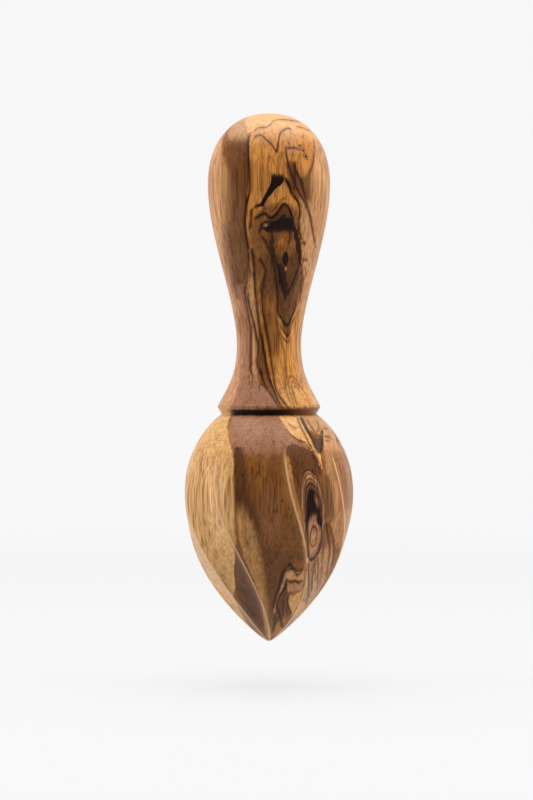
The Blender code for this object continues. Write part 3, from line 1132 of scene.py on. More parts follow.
        LEVEL, ((5.4, 73.6, 0.3), (5.8, 75.1, 0.35), (6.3, 75.5, 0.4), (7.2, 74.8, 0.35), (8.4, 73.5, 0.3),
        (9.6, 71.8, 0.3), (10.8, 69.8, 0.3), (12.2, 67, 0.3)), 0.6,
    ),
    Vein(UP, ((7.2, 67.2, 0.2), (6.2, 70, 0.25), (5.5, 72.6, 0.3), (5.5, 74.6, 0.3)), 0.5),
    Vein(
        LEVEL, ((6.4, 72.8, 0.3), (6.9, 73.9, 0.35), (7.8, 73.2, 0.3), (8.8, 72.3, 0.3), (10, 71, 0.25)),
        0.6,
    ),
    Vein(UP, ((8.1, 66.8, 0.25), (7.3, 69.4, 0.3), (6.7, 71.4, 0.3), (6.4, 73, 0.3)), 0.6),
    Vein(LEVEL, ((7.1, 71.2, 0.3), (7.5, 72.4, 0.45), (8.2, 72, 0.4), (9.2, 71.2, 0.3)), 0.6),
    # shoulder
    Vein(
        LEVEL, ((2.6, 63.8, 0.2), (4.2, 61.4, 0.25), (5.8, 59.4, 0.25), (7.4, 57.8, 0.3), (9.2, 56.8, 0.25),
        (10.6, 56.2, 0.25), (11.6, 54.8, 0.25), (12.6, 52.8, 0.25), (13.6, 50.8, 0.25), (14.9, 48.4, 0.25)),
        0.7,
    ),
    Vein(LEVEL, ((4.4, 63.7, 0.25), (5.7, 61.8, 0.3), (7, 60.9, 0.3), (8.6, 60.7, 0.25)), 0.6),
    Vein(
        UP, ((15, 49.4, 0.25), (13.8, 51.8, 0.3), (12.6, 54, 0.3), (11.4, 56.2, 0.35), (10.4, 58.4, 0.3),
        (9.4, 60.2, 0.35), (8.4, 62.6, 0.35), (8, 63.9, 0.3)), 0.8,
    ),
    Vein(
        UP, ((14.3, 53, 0.4), (12.8, 56, 0.5), (11.6, 58.6, 0.4), (10.6, 61, 0.35), (8.8, 63.8, 0.3)), 0.8,
    ),
    Vein(UP, ((14.6, 53.2, 0.4), (15.1, 56, 0.4), (15.2, 58.4, 0.35), (15.1, 60.4, 0.3)), 0.8),
    Vein(UP, ((13.4, 59, 0.6), (12.4, 60.4, 0.3), (11.4, 62, 0.3), (10.6, 63.6, 0.3)), 0.7),
    Vein(UP, ((13.5, 59.1, 0.5), (14.2, 61, 0.25), (13.2, 63.2, 0.25)), 0.6),
    Vein(LEVEL, ((15.6, 60.2, 0.2), (16.6, 60.5, 0.25), (17.2, 60.1, 0.2)), 0.7),
    Vein(LEVEL, ((15.7, 58.2, 0.25), (16.8, 58.2, 0.3), (17.8, 57.8, 0.2)), 0.8),
    Vein(LEVEL, ((16, 56.8, 0.2), (16.9, 57, 0.25), (17.6, 56.8, 0.2)), 0.7),
    Vein(UP, ((0.5, 55, 0.2), (1, 56, 0.2), (1.5, 57.5, 0.2)), 0.5),
    # head, right of the middle ridge
    Vein(
        LEVEL, ((11.2, 23, 0.4), (12.2, 23.3, 0.45), (13.2, 24, 0.5), (14, 25.4, 0.6), (14.9, 27.2, 0.8),
        (15.8, 29.6, 1)), 1,
    ),
    Vein(UP, ((11.2, 23.4, 0.4), (11.1, 27, 0.35), (10.9, 31, 0.4), (10.4, 35, 0.5)), 0.95),
    Vein(UP, ((13.2, 17, 0.25), (13, 20, 0.3), (13, 23.4, 0.3)), 0.7),
    Vein(UP, ((13.4, 14, 0.25), (13.8, 18, 0.3), (13.9, 22, 0.3), (13.7, 24.4, 0.3)), 0.7),
    Vein(UP, ((14.2, 15.6, 0.2), (14.9, 20, 0.3), (15.3, 25, 0.3), (15.6, 28.6, 0.3)), 0.6),
    Vein(UP, ((16, 17.6, 0.2), (16.8, 22, 0.3), (17.2, 26, 0.35), (16.7, 30, 0.4), (16.2, 34, 0.5)), 0.8),
    Vein(UP, ((17.6, 21, 0.2), (18.4, 25, 0.3), (18.3, 29, 0.3), (17.2, 33, 0.3)), 0.6),
    # head, left of the middle ridge
    Vein(
        LEVEL, ((4.7, 20.6, 0.5), (5.3, 21.5, 0.7), (6, 21.8, 0.6), (6.6, 21.3, 0.4), (7.6, 20.3, 0.35),
        (8.4, 19.9, 0.4), (9.2, 20.3, 0.4), (9.9, 20.9, 0.35)), 0.95,
    ),
    Vein(
        LEVEL, ((5.4, 20, 0.4), (5.8, 19.8, 0.4), (6.2, 20.6, 0.4), (6.6, 20.7, 0.4), (7.3, 20, 0.45),
        (8.2, 18.9, 0.6), (8.9, 19.4, 0.5), (9.9, 19.9, 0.35)), 0.95,
    ),
    Vein(
        LEVEL, ((5.1, 17.5, 0.5), (6.2, 16.8, 0.8), (7.4, 17.1, 0.8), (8.4, 16.7, 0.6), (9.1, 16.9, 0.5),
        (9.9, 17.6, 0.35)), 0.9,
    ),
    Vein(
        LEVEL, ((5.9, 13.3, 0.3), (6.6, 13.1, 0.35), (7.2, 13.3, 0.35), (7.9, 13.9, 0.3), (8.7, 14.3, 0.3),
        (9.6, 15.1, 0.25)), 0.8,
    ),
    Vein(
        UP, ((6.3, 7.3, 0.4), (5.9, 8.8, 0.4), (5.4, 10, 0.35), (5.3, 11.4, 0.35), (5.5, 12.6, 0.3),
        (5.9, 13.4, 0.25)), 0.85,
    ),
    Vein(UP, ((1, 2.2, 0.3), (1.4, 4, 0.3), (1.7, 5.6, 0.3), (1.6, 7.4, 0.35)), 0.7),
    Vein(
        UP, ((3.8, 3.6, 0.3), (3.5, 5, 0.35), (3.2, 6.6, 0.35), (2.8, 8.2, 0.35), (2.3, 9.6, 0.4),
        (2.2, 10.8, 0.35), (2.6, 12, 0.4), (3.3, 13.4, 0.5), (4.2, 14.6, 0.55), (4.8, 15.6, 0.5),
        (4.9, 17.6, 0.35)), 0.9,
    ),
    Vein(
        UP, ((1.2, 9, 0.3), (1.7, 11.6, 0.35), (2.2, 13.6, 0.35), (3, 15.8, 0.4), (3.4, 17.6, 0.5),
        (3.9, 19.4, 0.5), (4.8, 20.8, 0.5)), 0.85,
    ),
    Vein(UP, ((4.1, 7, 0.5), (4, 9, 0.5), (4.1, 11, 0.4), (3.9, 12.6, 0.3)), 0.5),
    Vein(UP, ((5.6, 7, 0.5), (5.1, 8.4, 0.6), (4.8, 10.4, 0.4)), 0.5),
    Vein(
        UP, ((11.3, 12.2, 0.7), (11.2, 13.8, 0.4), (11.3, 16, 0.35), (11.2, 19, 0.35), (11.1, 22.4, 0.4)),
        0.85,
    ),
    Vein(
        UP, ((11.9, 13.8, 0.35), (12.2, 16.4, 0.6), (12.3, 18.4, 0.45), (12.7, 20.6, 0.35),
        (13, 22.8, 0.35)), 0.8,
    ),
)


@dataclass(frozen=True)
class FigureSheet:
    """Puts the drawn figure on to the wood in a material's node tree."""

    drawing: Drawing
    reach: float = 4.0
    steepest: float = 3.5
    # how much of a run its fade in or out may take, from -1 to 1
    line_fade: float = 0.9
    patch_fade: Pair = (0.01, 0.95)

    def guide(self, sheet: Sheet, step: object, curves: tuple[list[Pair], list[Pair], list[Pair]]) -> object:
        """Three curves read together at one step, each from -1 to 1 both ways.

        Args:
            sheet: The material's sheet.
            step: How far along the run each point of the wood is, from -1 to 1.
            curves: The points of each curve.

        Returns:
            The three readings as one vector.
        """
        node = sheet.add("VectorCurve", {"Vector": sheet.vector(step, step, step)})
        for curve, points in zip(node.mapping.curves, curves):
            while len(curve.points) < len(points):
                curve.points.new(0.0, 0.0)
            for slot, (x, y) in zip(curve.points, points):
                slot.location = (x, y)
                slot.handle_type = "AUTO_CLAMPED"
        node.mapping.use_clip = False
        node.mapping.extend = "HORIZONTAL"
        node.mapping.update()
        return node.outputs[0]

    @staticmethod
    def steps(values: list[float]) -> list[float]:
        """Where each value stands between the first, at -1, and the last, at 1."""
        return [2 * (value - values[0]) / (values[-1] - values[0]) - 1 for value in values]

    def vein(self, sheet: Sheet, place: dict, vein: Vein) -> Node:
        """Adds one growth line and gives the node that says how strongly it shows.

        Args:
            sheet: The sheet being laid out.
            place: What is known of each point of the wood, and the node groups.
            vein: The line.

        Returns:
            The node, whose outputs are the line and the stain beside it.
        """
        landed = [(*self.drawing.landed(x, z), width) for x, z, width in vein.points]
        upright = vein.run is Run.UPRIGHT
        along = [point[vein.run.value] for point in landed]
        steps = self.steps(along)
        radii = [self.drawing.radius(turn - math.pi / 2, height) for turn, height, _ in landed]
        paths = [turn / math.pi if upright else height / FULL_HEIGHT for turn, height, _ in landed]
        widths = []
        for index, (_, _, width) in enumerate(landed):
            low, high = max(index - 1, 0), min(index + 1, len(landed) - 1)
            sideways = (landed[high][0] - landed[low][0]) * radii[index]
            upwards = landed[high][1] - landed[low][1]
            slope = sideways / upwards if upright else upwards / sideways
            widths.append(width / 2 * min(math.hypot(1.0, slope), self.steepest) / self.reach)
        length = abs(along[-1] - along[0]) * (1 if upright else radii[len(radii) // 2])
        ease = min(vein.taper / length * 2, self.line_fade)
        shows = [(-1.0, 0.0), (-1.0 + ease, 1.0), (1.0 - ease, 1.0), (1.0, 0.0)]
        low, high = along[0], along[-1]
        step = sheet.ramp(place["Height" if upright else "Turn"], low, high, -1.0, 1.0)
        guide = self.guide(sheet, step, (list(zip(steps, paths)), list(zip(steps, widths)), shows))
        inputs = {
            "Guide": guide,
            "Coordinate": place["Turn" if upright else "Height"],
            "Span": math.pi if upright else FULL_HEIGHT,
            "Scale": place["Radius"] if upright else 1.0,
            "Reach": self.reach,
            "Darkness": vein.darkness,
        }
        return sheet.add("Group", inputs, node_tree=place["line"])

    def patch(self, sheet: Sheet, place: dict, patch: Patch) -> Socket:
        """Adds one patch and gives how strongly it shows.

        Args:
            sheet: The sheet being laid out.
            place: What is known of each point of the wood, and the node groups.
            patch: The patch.

        Returns:
            Its strength at each point.
        """
        left = [self.drawing.landed(x, z) for z, x, _ in patch.rows]
        right = [self.drawing.landed(x, z) for z, _, x in patch.rows]
        heights = [(a[1] + b[1]) / 2 for a, b in zip(left, right)]
        steps = self.steps(heights)
        length = heights[-1] - heights[0]
        least, most = self.patch_fade
        foot, head = (min(max(2 * fade / length, least), most) for fade in patch.fade)
        shows = [(-1.0, 0.0), (-1.0 + foot, 1.0), (1.0 - head, 1.0), (1.0, 0.0)]
        edges = ([(s, turn / math.pi) for s, (turn, _) in zip(steps, side)] for side in (left, right))
        step = sheet.ramp(place["Feathered Height"], heights[0], heights[-1], -1.0, 1.0)
        guide = self.guide(sheet, step, (*edges, shows))
        inputs = {
            "Guide": guide,
            "Turn": place["Feathered Turn"],
            "Radius": place["Radius"],
            "Left Softness": patch.soft[0],
            "Right Softness": patch.soft[1],
            "Strength": patch.strength,
        }
        return sheet.add("Group", inputs, node_tree=place["patch"]).outputs["Shows"]

    def knot(self, sheet: Sheet, place: dict, knot: Knot, under: object) -> Socket:
        """Adds one knot and gives the colours with it laid over them.

        Args:
            sheet: The sheet being laid out.
            place: What is known of each point of the wood, and the node groups.
            knot: The knot.
            under: The colours below it.

        Returns:
            The colours with the knot.
        """
        turn, height = self.drawing.landed(*knot.centre)
        inputs = {
            "Turn": place["Turn"],
            "Height": place["Height"],
            "Radius": place["Radius"],
            "Centre Turn": turn,
            "Centre Height": height,
            "Across": knot.radii[0],
            "Up": knot.radii[1],
            "Lean": knot.lean,
        }
        share = sheet.add("Group", inputs, node_tree=place["knot"]).outputs["Share"]
        ramp = sheet.add("ValToRGB", {"Fac": share})
        bands = ramp.color_ramp.elements
        while len(bands) < len(knot.rings):
            bands.new(0.5)
        for band, (position, tone, strength) in zip(bands, sorted(knot.rings, key=lambda ring: ring[0])):
            band.position = position
            band.color = (*tone.colour()[:3], strength)
        return sheet.blend(ramp.outputs["Alpha"], under, ramp.outputs["Color"])


# ---------------------------------------------------------------- finish


@dataclass(frozen=True)
class Fibres:
    """A set of streaks: their width, their length in widths, their start and their share of the shade."""

    width: float
    stretch: float
    start: float
    share: float = 1.0


@dataclass(frozen=True)
class OliveWood:
    """Oiled olive wood, solid through the piece.

    Widths and heights are in millimetres, except in the fibres, whose widths are in metres.
    """

    drawing: Drawing
    name: str = "oiled_olive_wood"
    crest_attribute: str = "crest_distance"
    # the slow drift and the fine teeth that keep the drawing's edges from running too cleanly
    drift: tuple[float, float, float] = (420.0, 2.5, 0.55)
    drift_run: float = 0.4
    drift_rise: float = 1.5
    teeth: Pair = (2300.0, 2.0)
    teeth_run: float = 0.04
    feather_turn: float = 2.0
    # the fibres, and how they shade the wood
    broad: Fibres = Fibres(0.0034, 16.0, 0.0, 0.8)
    middle: Fibres = Fibres(0.0012, 30.0, 0.3, 1.2)
    fine: Fibres = Fibres(0.00045, 34.0, 0.7, 1.8)
    cut_across: float = 0.85
    darkening: float = 2.3
    lightening: float = 1.1
    dark_fibre: Colour = (0.40, 0.25, 0.15, 1.0)
    light_fibre: Colour = (2.1, 2.0, 1.8, 1.0)
    # the dark lines and the stain beside them
    stain_share: float = 0.6
    stain_colour: Colour = (0.34, 0.19, 0.09, 1.0)
    line_share: float = 0.86
    line_vary: float = 1.4
    # the surface
    roughness: float = 0.36
    roughness_vary: float = 0.15
    shine: float = 0.18
    relief_strength: float = 0.15
    relief_depth: float = 0.0002
    relief_fine: float = 0.6
    relief_middle: float = 0.4
    # the ridges and their painted highlight, the lathe's marks, and the groove's burnish and painted shade
    ridge_top: Pair = (50.0, 55.5)
    # where the painted highlight on the ridges' banks and crest lines reaches, and how strongly it shows
    bank: Pair = (0.2, 2.6)
    bank_highlight_share: float = 0.22
    crest: Pair = (0.05, 0.5)
    crest_highlight_share: float = 0.55
    lathe_rings: Fibres = Fibres(0.006, 0.05, 1.3)
    lathe_foot: Pair = (53.0, 56.0)
    lathe_head: Pair = (63.0, 68.0)
    lathe_elsewhere: float = 0.25
    lathe_dark: tuple[float, Colour] = (0.5, (0.45, 0.32, 0.22, 1.0))
    lathe_light: tuple[float, Colour] = (0.7, (1.9, 1.9, 1.8, 1.0))
    # where the groove's burnish and painted shade lie
    groove_height: float = 65.1
    groove_width: Pair = (0.6, 1.1)
    groove_left: Pair = (-1.05, -0.75)
    groove_right: Pair = (0.2, 1.1)

    def place_group(self) -> Tree:
        """The group that says where on the wood a point is, with the slight wander of real fibres.

        Returns:
            The group.
        """
        inputs = {"Vector": "NodeSocketVector", "Wander": 0.4, "Teeth": 0.4, "Feather": 1.8}
        names = ("Turn", "Height", "Radius", "Feathered Turn", "Feathered Height")
        outputs = {name: "NodeSocketFloat" for name in names}
        sheet, given, result = new_group("Place on the wood", "ShaderNodeTree", inputs, outputs)
        x, y, z = sheet.parts(given["Vector"])
        flat = sheet.length(x, y)
        radius = sheet.times(flat, MILLIMETRES)
        low = sheet.vector(x, y, sheet.times(z, self.drift_run))
        scale, detail, roughness = self.drift
        drift = {"Vector": low, "Scale": scale, "Detail": detail, "Roughness": roughness}
        drift = sheet.add("TexNoise", drift)
        side, rise, _ = sheet.parts(drift.outputs["Color"])
        low = sheet.vector(x, y, sheet.times(z, self.teeth_run))
        teeth = sheet.add("TexNoise", {"Vector": low, "Scale": self.teeth[0], "Detail": self.teeth[1]})
        side = sheet.times(sheet.minus(side, 0.5), given["Wander"])
        side = sheet.over(side, sheet.math("MAXIMUM", radius, 1.0))
        lift = sheet.times(given["Wander"], self.drift_rise)
        rise = sheet.times(sheet.minus(rise, 0.5), lift)
        tooth = sheet.minus(teeth.outputs["Fac"], 0.5)
        turn = sheet.plus(sheet.math("ARCTAN2", x, sheet.times(y, -1.0)), side)
        height = sheet.plus(sheet.times(z, MILLIMETRES), rise)
        short = sheet.times(tooth, given["Teeth"])
        feather = sheet.over(short, sheet.math("MAXIMUM", radius, 1.0))
        sheet.feed(result["Turn"], turn)
        sheet.feed(result["Height"], sheet.plus(height, short))
        sheet.feed(result["Radius"], radius)
        feather = sheet.times(feather, self.feather_turn)
        sheet.feed(result["Feathered Turn"], sheet.plus(turn, feather))
        rise = sheet.times(tooth, given["Feather"])
        sheet.feed(result["Feathered Height"], sheet.plus(height, rise))
        return sheet.tree

    @staticmethod
    def line_group() -> Tree:
        """The group that says how strongly a growth line shows, and the stain beside it.

        A line is full inside a share of its half width, and gone a little beyond it. Its stain reaches on.

        Returns:
            The group.
        """
        full, gone, haze, stained = 0.45, 1.35, 0.05, 0.75
        names = ("Coordinate", "Span", "Scale", "Reach", "Darkness")
        inputs = {"Guide": "NodeSocketVector", **{name: 1.0 for name in names}}
        outputs = {"Line": "NodeSocketFloat", "Stain": "NodeSocketFloat"}
        sheet, given, result = new_group("Growth line", "ShaderNodeTree", inputs, outputs)
        path, width, shows = sheet.readings(given["Guide"])
        offset = sheet.minus(given["Coordinate"], sheet.times(path, given["Span"]))
        away = sheet.math("ABSOLUTE", sheet.times(offset, given["Scale"]))
        half = sheet.times(width, given["Reach"])
        strength = sheet.times(shows, given["Darkness"])
        inner = sheet.times(half, full)
        outer = sheet.plus(sheet.times(half, gone), haze)
        line = sheet.rest(sheet.smooth(away, inner, outer))
        stain = sheet.rest(sheet.smooth(away, half, sheet.plus(half, stained)))
        sheet.feed(result["Line"], sheet.times(line, strength))
        sheet.feed(result["Stain"], sheet.times(stain, strength))
        return sheet.tree

    @staticmethod
    def patch_group() -> Tree:
        """The group that says how strongly a patch shows between its two edges.

        Returns:
            The group.
        """
        names = ("Turn", "Radius", "Left Softness", "Right Softness", "Strength")
        inputs = {"Guide": "NodeSocketVector", **{name: 1.0 for name in names}}
        outputs = {"Shows": "NodeSocketFloat"}
        sheet, given, result = new_group("Patch of figure", "ShaderNodeTree", inputs, outputs)
        left, right, shows = sheet.readings(given["Guide"])
        value = sheet.times(shows, given["Strength"])
        for edge, name, way in ((left, "Left Softness", 1.0), (right, "Right Softness", -1.0)):
            offset = sheet.minus(given["Turn"], sheet.times(edge, math.pi))
            away = sheet.times(sheet.times(offset, given["Radius"]), way)
            half = sheet.times(given[name], 0.5)
            inside = sheet.smooth(away, sheet.times(half, -1.0), half)
            value = sheet.times(value, inside)
        sheet.feed(result["Shows"], value)
        return sheet.tree

    @staticmethod
    def knot_group() -> Tree:
        """The group that says how far out from a knot's centre a point is, as a share of its radii.

        Returns:
            The group.
        """
        names = ("Turn", "Height", "Radius", "Centre Turn", "Centre Height", "Across", "Up", "Lean")
        outputs = {"Share": "NodeSocketFloat"}
        sheet, given, result = new_group("Knot", "ShaderNodeTree", {name: 1.0 for name in names}, outputs)
        turn = sheet.minus(given["Turn"], given["Centre Turn"])
        x = sheet.times(turn, given["Radius"])
        y = sheet.minus(given["Height"], given["Centre Height"])
        x = sheet.plus(x, sheet.times(y, given["Lean"]))
        x, y = sheet.over(x, given["Across"]), sheet.over(y, given["Up"])
        squares = sheet.plus(sheet.times(x, x), sheet.times(y, y))
        sheet.feed(result["Share"], sheet.math("SQRT", squares))
        return sheet.tree

    @staticmethod
    def fibre_group() -> Tree:
        """The group that makes streaks along the grain.

        Returns:
            The group.
        """
        inputs = {"Vector": "NodeSocketVector", "Width": 0.001, "Stretch": 12.0, "Detail": 2.0, "Shift": 0.0}
        outputs = {"Value": "NodeSocketFloat"}
        sheet, given, result = new_group("Fibres", "ShaderNodeTree", inputs, outputs)
        x, y, z = sheet.parts(given["Vector"])
        spot = sheet.vector(x, y, sheet.over(z, given["Stretch"]))
        moved = sheet.add("VectorMath", {0: spot, 1: given["Shift"]}, operation="ADD").outputs[0]
        scale = sheet.over(1.0, given["Width"])
        noise = {"Vector": moved, "Scale": scale, "Detail": given["Detail"], "Roughness": 0.6}
        sheet.feed(result["Value"], sheet.add("TexNoise", noise).outputs["Fac"])
        return sheet.tree

    @staticmethod
    def fibres(sheet: Sheet, place: dict, kind: Fibres) -> Socket:
        """Streaks along the grain, centred on zero.

        Args:
            sheet: The material's sheet.
            place: What is known of each point of the wood, and the node groups.
            kind: The set of fibres.

        Returns:
            The streaks.
        """
        inputs = {"Vector": place["Spot"], "Width": kind.width, "Stretch": kind.stretch, "Detail": 2.5}
        inputs["Shift"] = kind.start
        value = sheet.add("Group", inputs, node_tree=place["fibre"]).outputs["Value"]
        return sheet.minus(value, 0.5)

    def round_the_back(self, sheet: Sheet, place: dict) -> Socket:
        """Plain heartwood in front, and behind it the sapwood, heartwood and growth lines of the far side.

        Args:
            sheet: The material's sheet.
            place: What is known of each point of the wood, and the node groups.

        Returns:
            The colours.
        """
        sapwood, far_edge, shoulder, turned_away = (-9.0, -1.0), (9.0, 13.0), (0.064, 0.068), (1.32, 1.5)
        wander, line_share = 16.0, 0.85
        x, y, z = sheet.parts(place["Spot"])
        inputs = {"Vector": place["Spot"], "Pith Across": -0.034, "Pith Deep": -0.020, "Spacing": 0.0062}
        rings = sheet.add("Group", inputs, node_tree=self.ring_group())
        lean = sheet.times(x, MILLIMETRES)
        lean = sheet.plus(lean, sheet.times(rings.outputs["Drift"], wander))
        sap = sheet.rest(sheet.smooth(lean, *sapwood))
        far = sheet.blend(rings.outputs["Band"], Tone.BROWN.colour(), Tone.GOLD.colour())
        pale = sheet.blend(rings.outputs["Band"], Tone.TAN.colour(), Tone.SAPWOOD.colour())
        far = sheet.blend(sap, far, pale)
        edge = sheet.times(sheet.smooth(lean, *far_edge), sheet.smooth(z, *shoulder))
        far = sheet.blend(edge, far, Tone.TAN.colour())
        heart = sheet.rest(sheet.times(sap, line_share))
        ink = sheet.times(rings.outputs["Line"], heart)
        far = sheet.blend(sheet.times(ink, line_share), far, Tone.INK.colour())
        turned = sheet.math("ABSOLUTE", sheet.math("ARCTAN2", x, sheet.times(y, -1.0)))
        return sheet.blend(sheet.smooth(turned, *turned_away), Tone.BROWN.colour(), far)

    @staticmethod
    def ring_group() -> Tree:
        """The group that winds growth rings round a pith standing beside the piece.

        Returns:
            The group.
        """
        grain_run, swirl, swing, line = 0.35, 45.0, 9.0, (0.02, 0.07)
        inputs = {"Vector": "NodeSocketVector", "Pith Across": 0.0, "Pith Deep": 0.0, "Spacing": 0.005}
        outputs = {name: "NodeSocketFloat" for name in ("Band", "Line", "Drift")}
        sheet, given, result = new_group("Growth rings", "ShaderNodeTree", inputs, outputs)
        x, y, z = sheet.parts(given["Vector"])
        slow = sheet.vector(x, y, sheet.times(z, grain_run))
        wave = {"Vector": slow, "Scale": swirl, "Detail": 2.0, "Roughness": 0.5}
        wave = sheet.add("TexNoise", wave).outputs["Fac"]
        drift = sheet.minus(wave, 0.5)
        across = sheet.minus(x, given["Pith Across"])
        deep = sheet.minus(y, given["Pith Deep"])
        flat = sheet.length(across, deep)
        rings = sheet.over(flat, given["Spacing"])
        rings = sheet.plus(rings, sheet.times(drift, swing))
        part = sheet.math("FRACT", rings)
        away = sheet.math("ABSOLUTE", sheet.minus(part, 0.5))
        sheet.feed(result["Band"], part)
        sheet.feed(result["Line"], sheet.rest(sheet.smooth(away, *line)))
        sheet.feed(result["Drift"], drift)
        return sheet.tree

    def ground(self, sheet: Sheet, place: dict, figure: FigureSheet) -> Socket:
        """The wood's colours before its dark lines: base, patches and knots.

        Args:
            sheet: The material's sheet.
            place: What is known of each point of the wood, and the node groups.
            figure: Where the drawn figure is laid on.

        Returns:
            The colours.
        """
        colour = self.round_the_back(sheet, place)
        for patch in PATCHES:
            colour = sheet.blend(figure.patch(sheet, place, patch), colour, patch.tone.colour())
        for knot in KNOTS:
            colour = figure.knot(sheet, place, knot, colour)
        return colour

    def material(self) -> bpy.types.Material:
        """Builds the finish.

        Returns:
            The material, with all its patterns in object coordinates.
        """
        material = bpy.data.materials.new(self.name)
        material.use_nodes = True
        material.node_tree.nodes.clear()
        sheet = Sheet(material.node_tree)
        spot = sheet.add("TexCoord").outputs["Object"]
        drift = sheet.add("Group", {"Vector": spot}, node_tree=self.place_group())
        place = {socket.name: socket for socket in drift.outputs}
        place["Spot"] = spot
        place.update(line=self.line_group(), patch=self.patch_group(), knot=self.knot_group())
        place["fibre"] = self.fibre_group()
        figure = FigureSheet(self.drawing)
        colour = self.ground(sheet, place, figure)
        line, stain = 0.0, 0.0
        for vein in VEINS:
            node = figure.vein(sheet, place, vein)
            line = sheet.math("MAXIMUM", line, node.outputs["Line"])
            stain = sheet.math("MAXIMUM", stain, node.outputs["Stain"])
        kinds = (self.broad, self.middle, self.fine)
        broad, middle, fine = (self.fibres(sheet, place, kind) for kind in kinds)
        shade = sheet.times(broad, self.broad.share)
        shade = sheet.plus(shade, sheet.times(middle, self.middle.share))
        shade = sheet.plus(shade, sheet.times(fine, self.fine.share))
        # where the surface leans, the fibres are cut across and show as fine specks
        facing = sheet.add("TexCoord").outputs["Normal"]
        lean = sheet.math("ABSOLUTE", sheet.readings(facing)[2])
        plain = sheet.rest(sheet.times(lean, self.cut_across))
        shade = sheet.times(shade, plain)
        darker = sheet.math("MAXIMUM", sheet.times(shade, -self.darkening), 0.0)
        lighter = sheet.math("MAXIMUM", sheet.times(shade, self.lightening), 0.0)
        colour = sheet.blend(darker, colour, self.dark_fibre, "MULTIPLY")
        colour = sheet.blend(lighter, colour, self.light_fibre, "MULTIPLY")
        colour = self.turning_marks(sheet, place, colour)
        # painted highlight along the ridges, pale on the crest lines and their banks
        colour = self.crests(sheet, place, colour)
        vary = sheet.plus(self.line_share, sheet.times(middle, self.line_vary))
        stain = sheet.times(stain, self.stain_share)
        colour = sheet.blend(stain, colour, self.stain_colour, "MULTIPLY")
        colour = sheet.blend(sheet.times(line, vary), colour, Tone.INK.colour())
        # burnish and painted shade in the groove under the lip
        colour = self.groove(sheet, place, colour)
        height = sheet.times(fine, self.relief_fine)
        height = sheet.plus(height, sheet.times(middle, self.relief_middle))
        relief = {"Strength": self.relief_strength, "Distance": self.relief_depth, "Height": height}
        bump = sheet.add("Bump", relief).outputs[0]
        rough = sheet.plus(self.roughness, sheet.times(shade, -self.roughness_vary))
        shader = sheet.add("BsdfPrincipled", {"Base Color": colour, "Roughness": rough, "Normal": bump})
        shader.inputs["Specular IOR Level"].default_value = self.shine
        sheet.add("OutputMaterial", {"Surface": shader.outputs[0]})
        material.diffuse_color = Tone.BROWN.colour()
        return material

    def crests(self, sheet: Sheet, place: dict, colour: object) -> Socket:
        """The ridges, with painted highlight: pale along the crest lines and a little on their banks,
        standing for light catching the ridges.

        Args:
            sheet: The material's sheet.
            place: What is known of each point of the wood, and the node groups.
            colour: The colours below.

        Returns:
            The colours with them.
        """
        away = sheet.add("Attribute", attribute_name=self.crest_attribute).outputs["Fac"]
        below = sheet.rest(sheet.smooth(place["Height"], *self.ridge_top))
        bank = sheet.rest(sheet.smooth(away, *self.bank))
        crest = sheet.rest(sheet.smooth(away, *self.crest))
        bank = sheet.times(sheet.times(bank, below), self.bank_highlight_share)
        colour = sheet.blend(bank, colour, Tone.TAN.colour())
        crest = sheet.times(sheet.times(crest, below), self.crest_highlight_share)
        return sheet.blend(crest, colour, Tone.PALE_TAN.colour())

    def turning_marks(self, sheet: Sheet, place: dict, colour: object) -> Socket:
        """Faint rings left by the lathe, clearest on the shoulder.

        Args:
            sheet: The material's sheet.
            place: What is known of each point of the wood, and the node groups.
            colour: The colours below.

        Returns:
            The colours with them.
        """
        rings = self.fibres(sheet, place, self.lathe_rings)
        near = sheet.smooth(place["Height"], *self.lathe_foot)
        below = sheet.rest(sheet.smooth(place["Height"], *self.lathe_head))
        shows = sheet.plus(self.lathe_elsewhere, sheet.times(near, below))
        dark = sheet.times(sheet.math("MAXIMUM", sheet.times(rings, -1.0), 0.0), shows)
        light = sheet.times(sheet.math("MAXIMUM", rings, 0.0), shows)
        for mark, (share, tint) in ((dark, self.lathe_dark), (light, self.lathe_light)):
            colour = sheet.blend(sheet.times(mark, share), colour, tint, "MULTIPLY")
        return colour

    def groove(self, sheet: Sheet, place: dict, colour: object) -> Socket:
        """The groove under the lip, darkened nearly black where the wood is dark: partly a burnished line,
        partly painted shade standing for the groove's deep shadow.

        Args:
            sheet: The material's sheet.
            place: What is known of each point of the wood, and the node groups.
            colour: The colours below.

        Returns:
            The colours with the groove.
        """
        away = sheet.math("ABSOLUTE", sheet.minus(place["Height"], self.groove_height))
        inside = sheet.rest(sheet.smooth(away, *self.groove_width))
        left = sheet.smooth(place["Turn"], *self.groove_left)
        right = sheet.rest(sheet.smooth(place["Turn"], *self.groove_right))
        shows = sheet.times(inside, sheet.times(left, right))
        return sheet.blend(shows, colour, Tone.INK.colour())


# ---------------------------------------------------------------- studio


@dataclass(frozen=True)
class Softbox:
    """A softbox: where it stands, what it faces, its size and watts, and whether reflections show it."""

    name: str
    place: Triple
    target: Triple
    size: Pair
    power: float
    glossy: bool


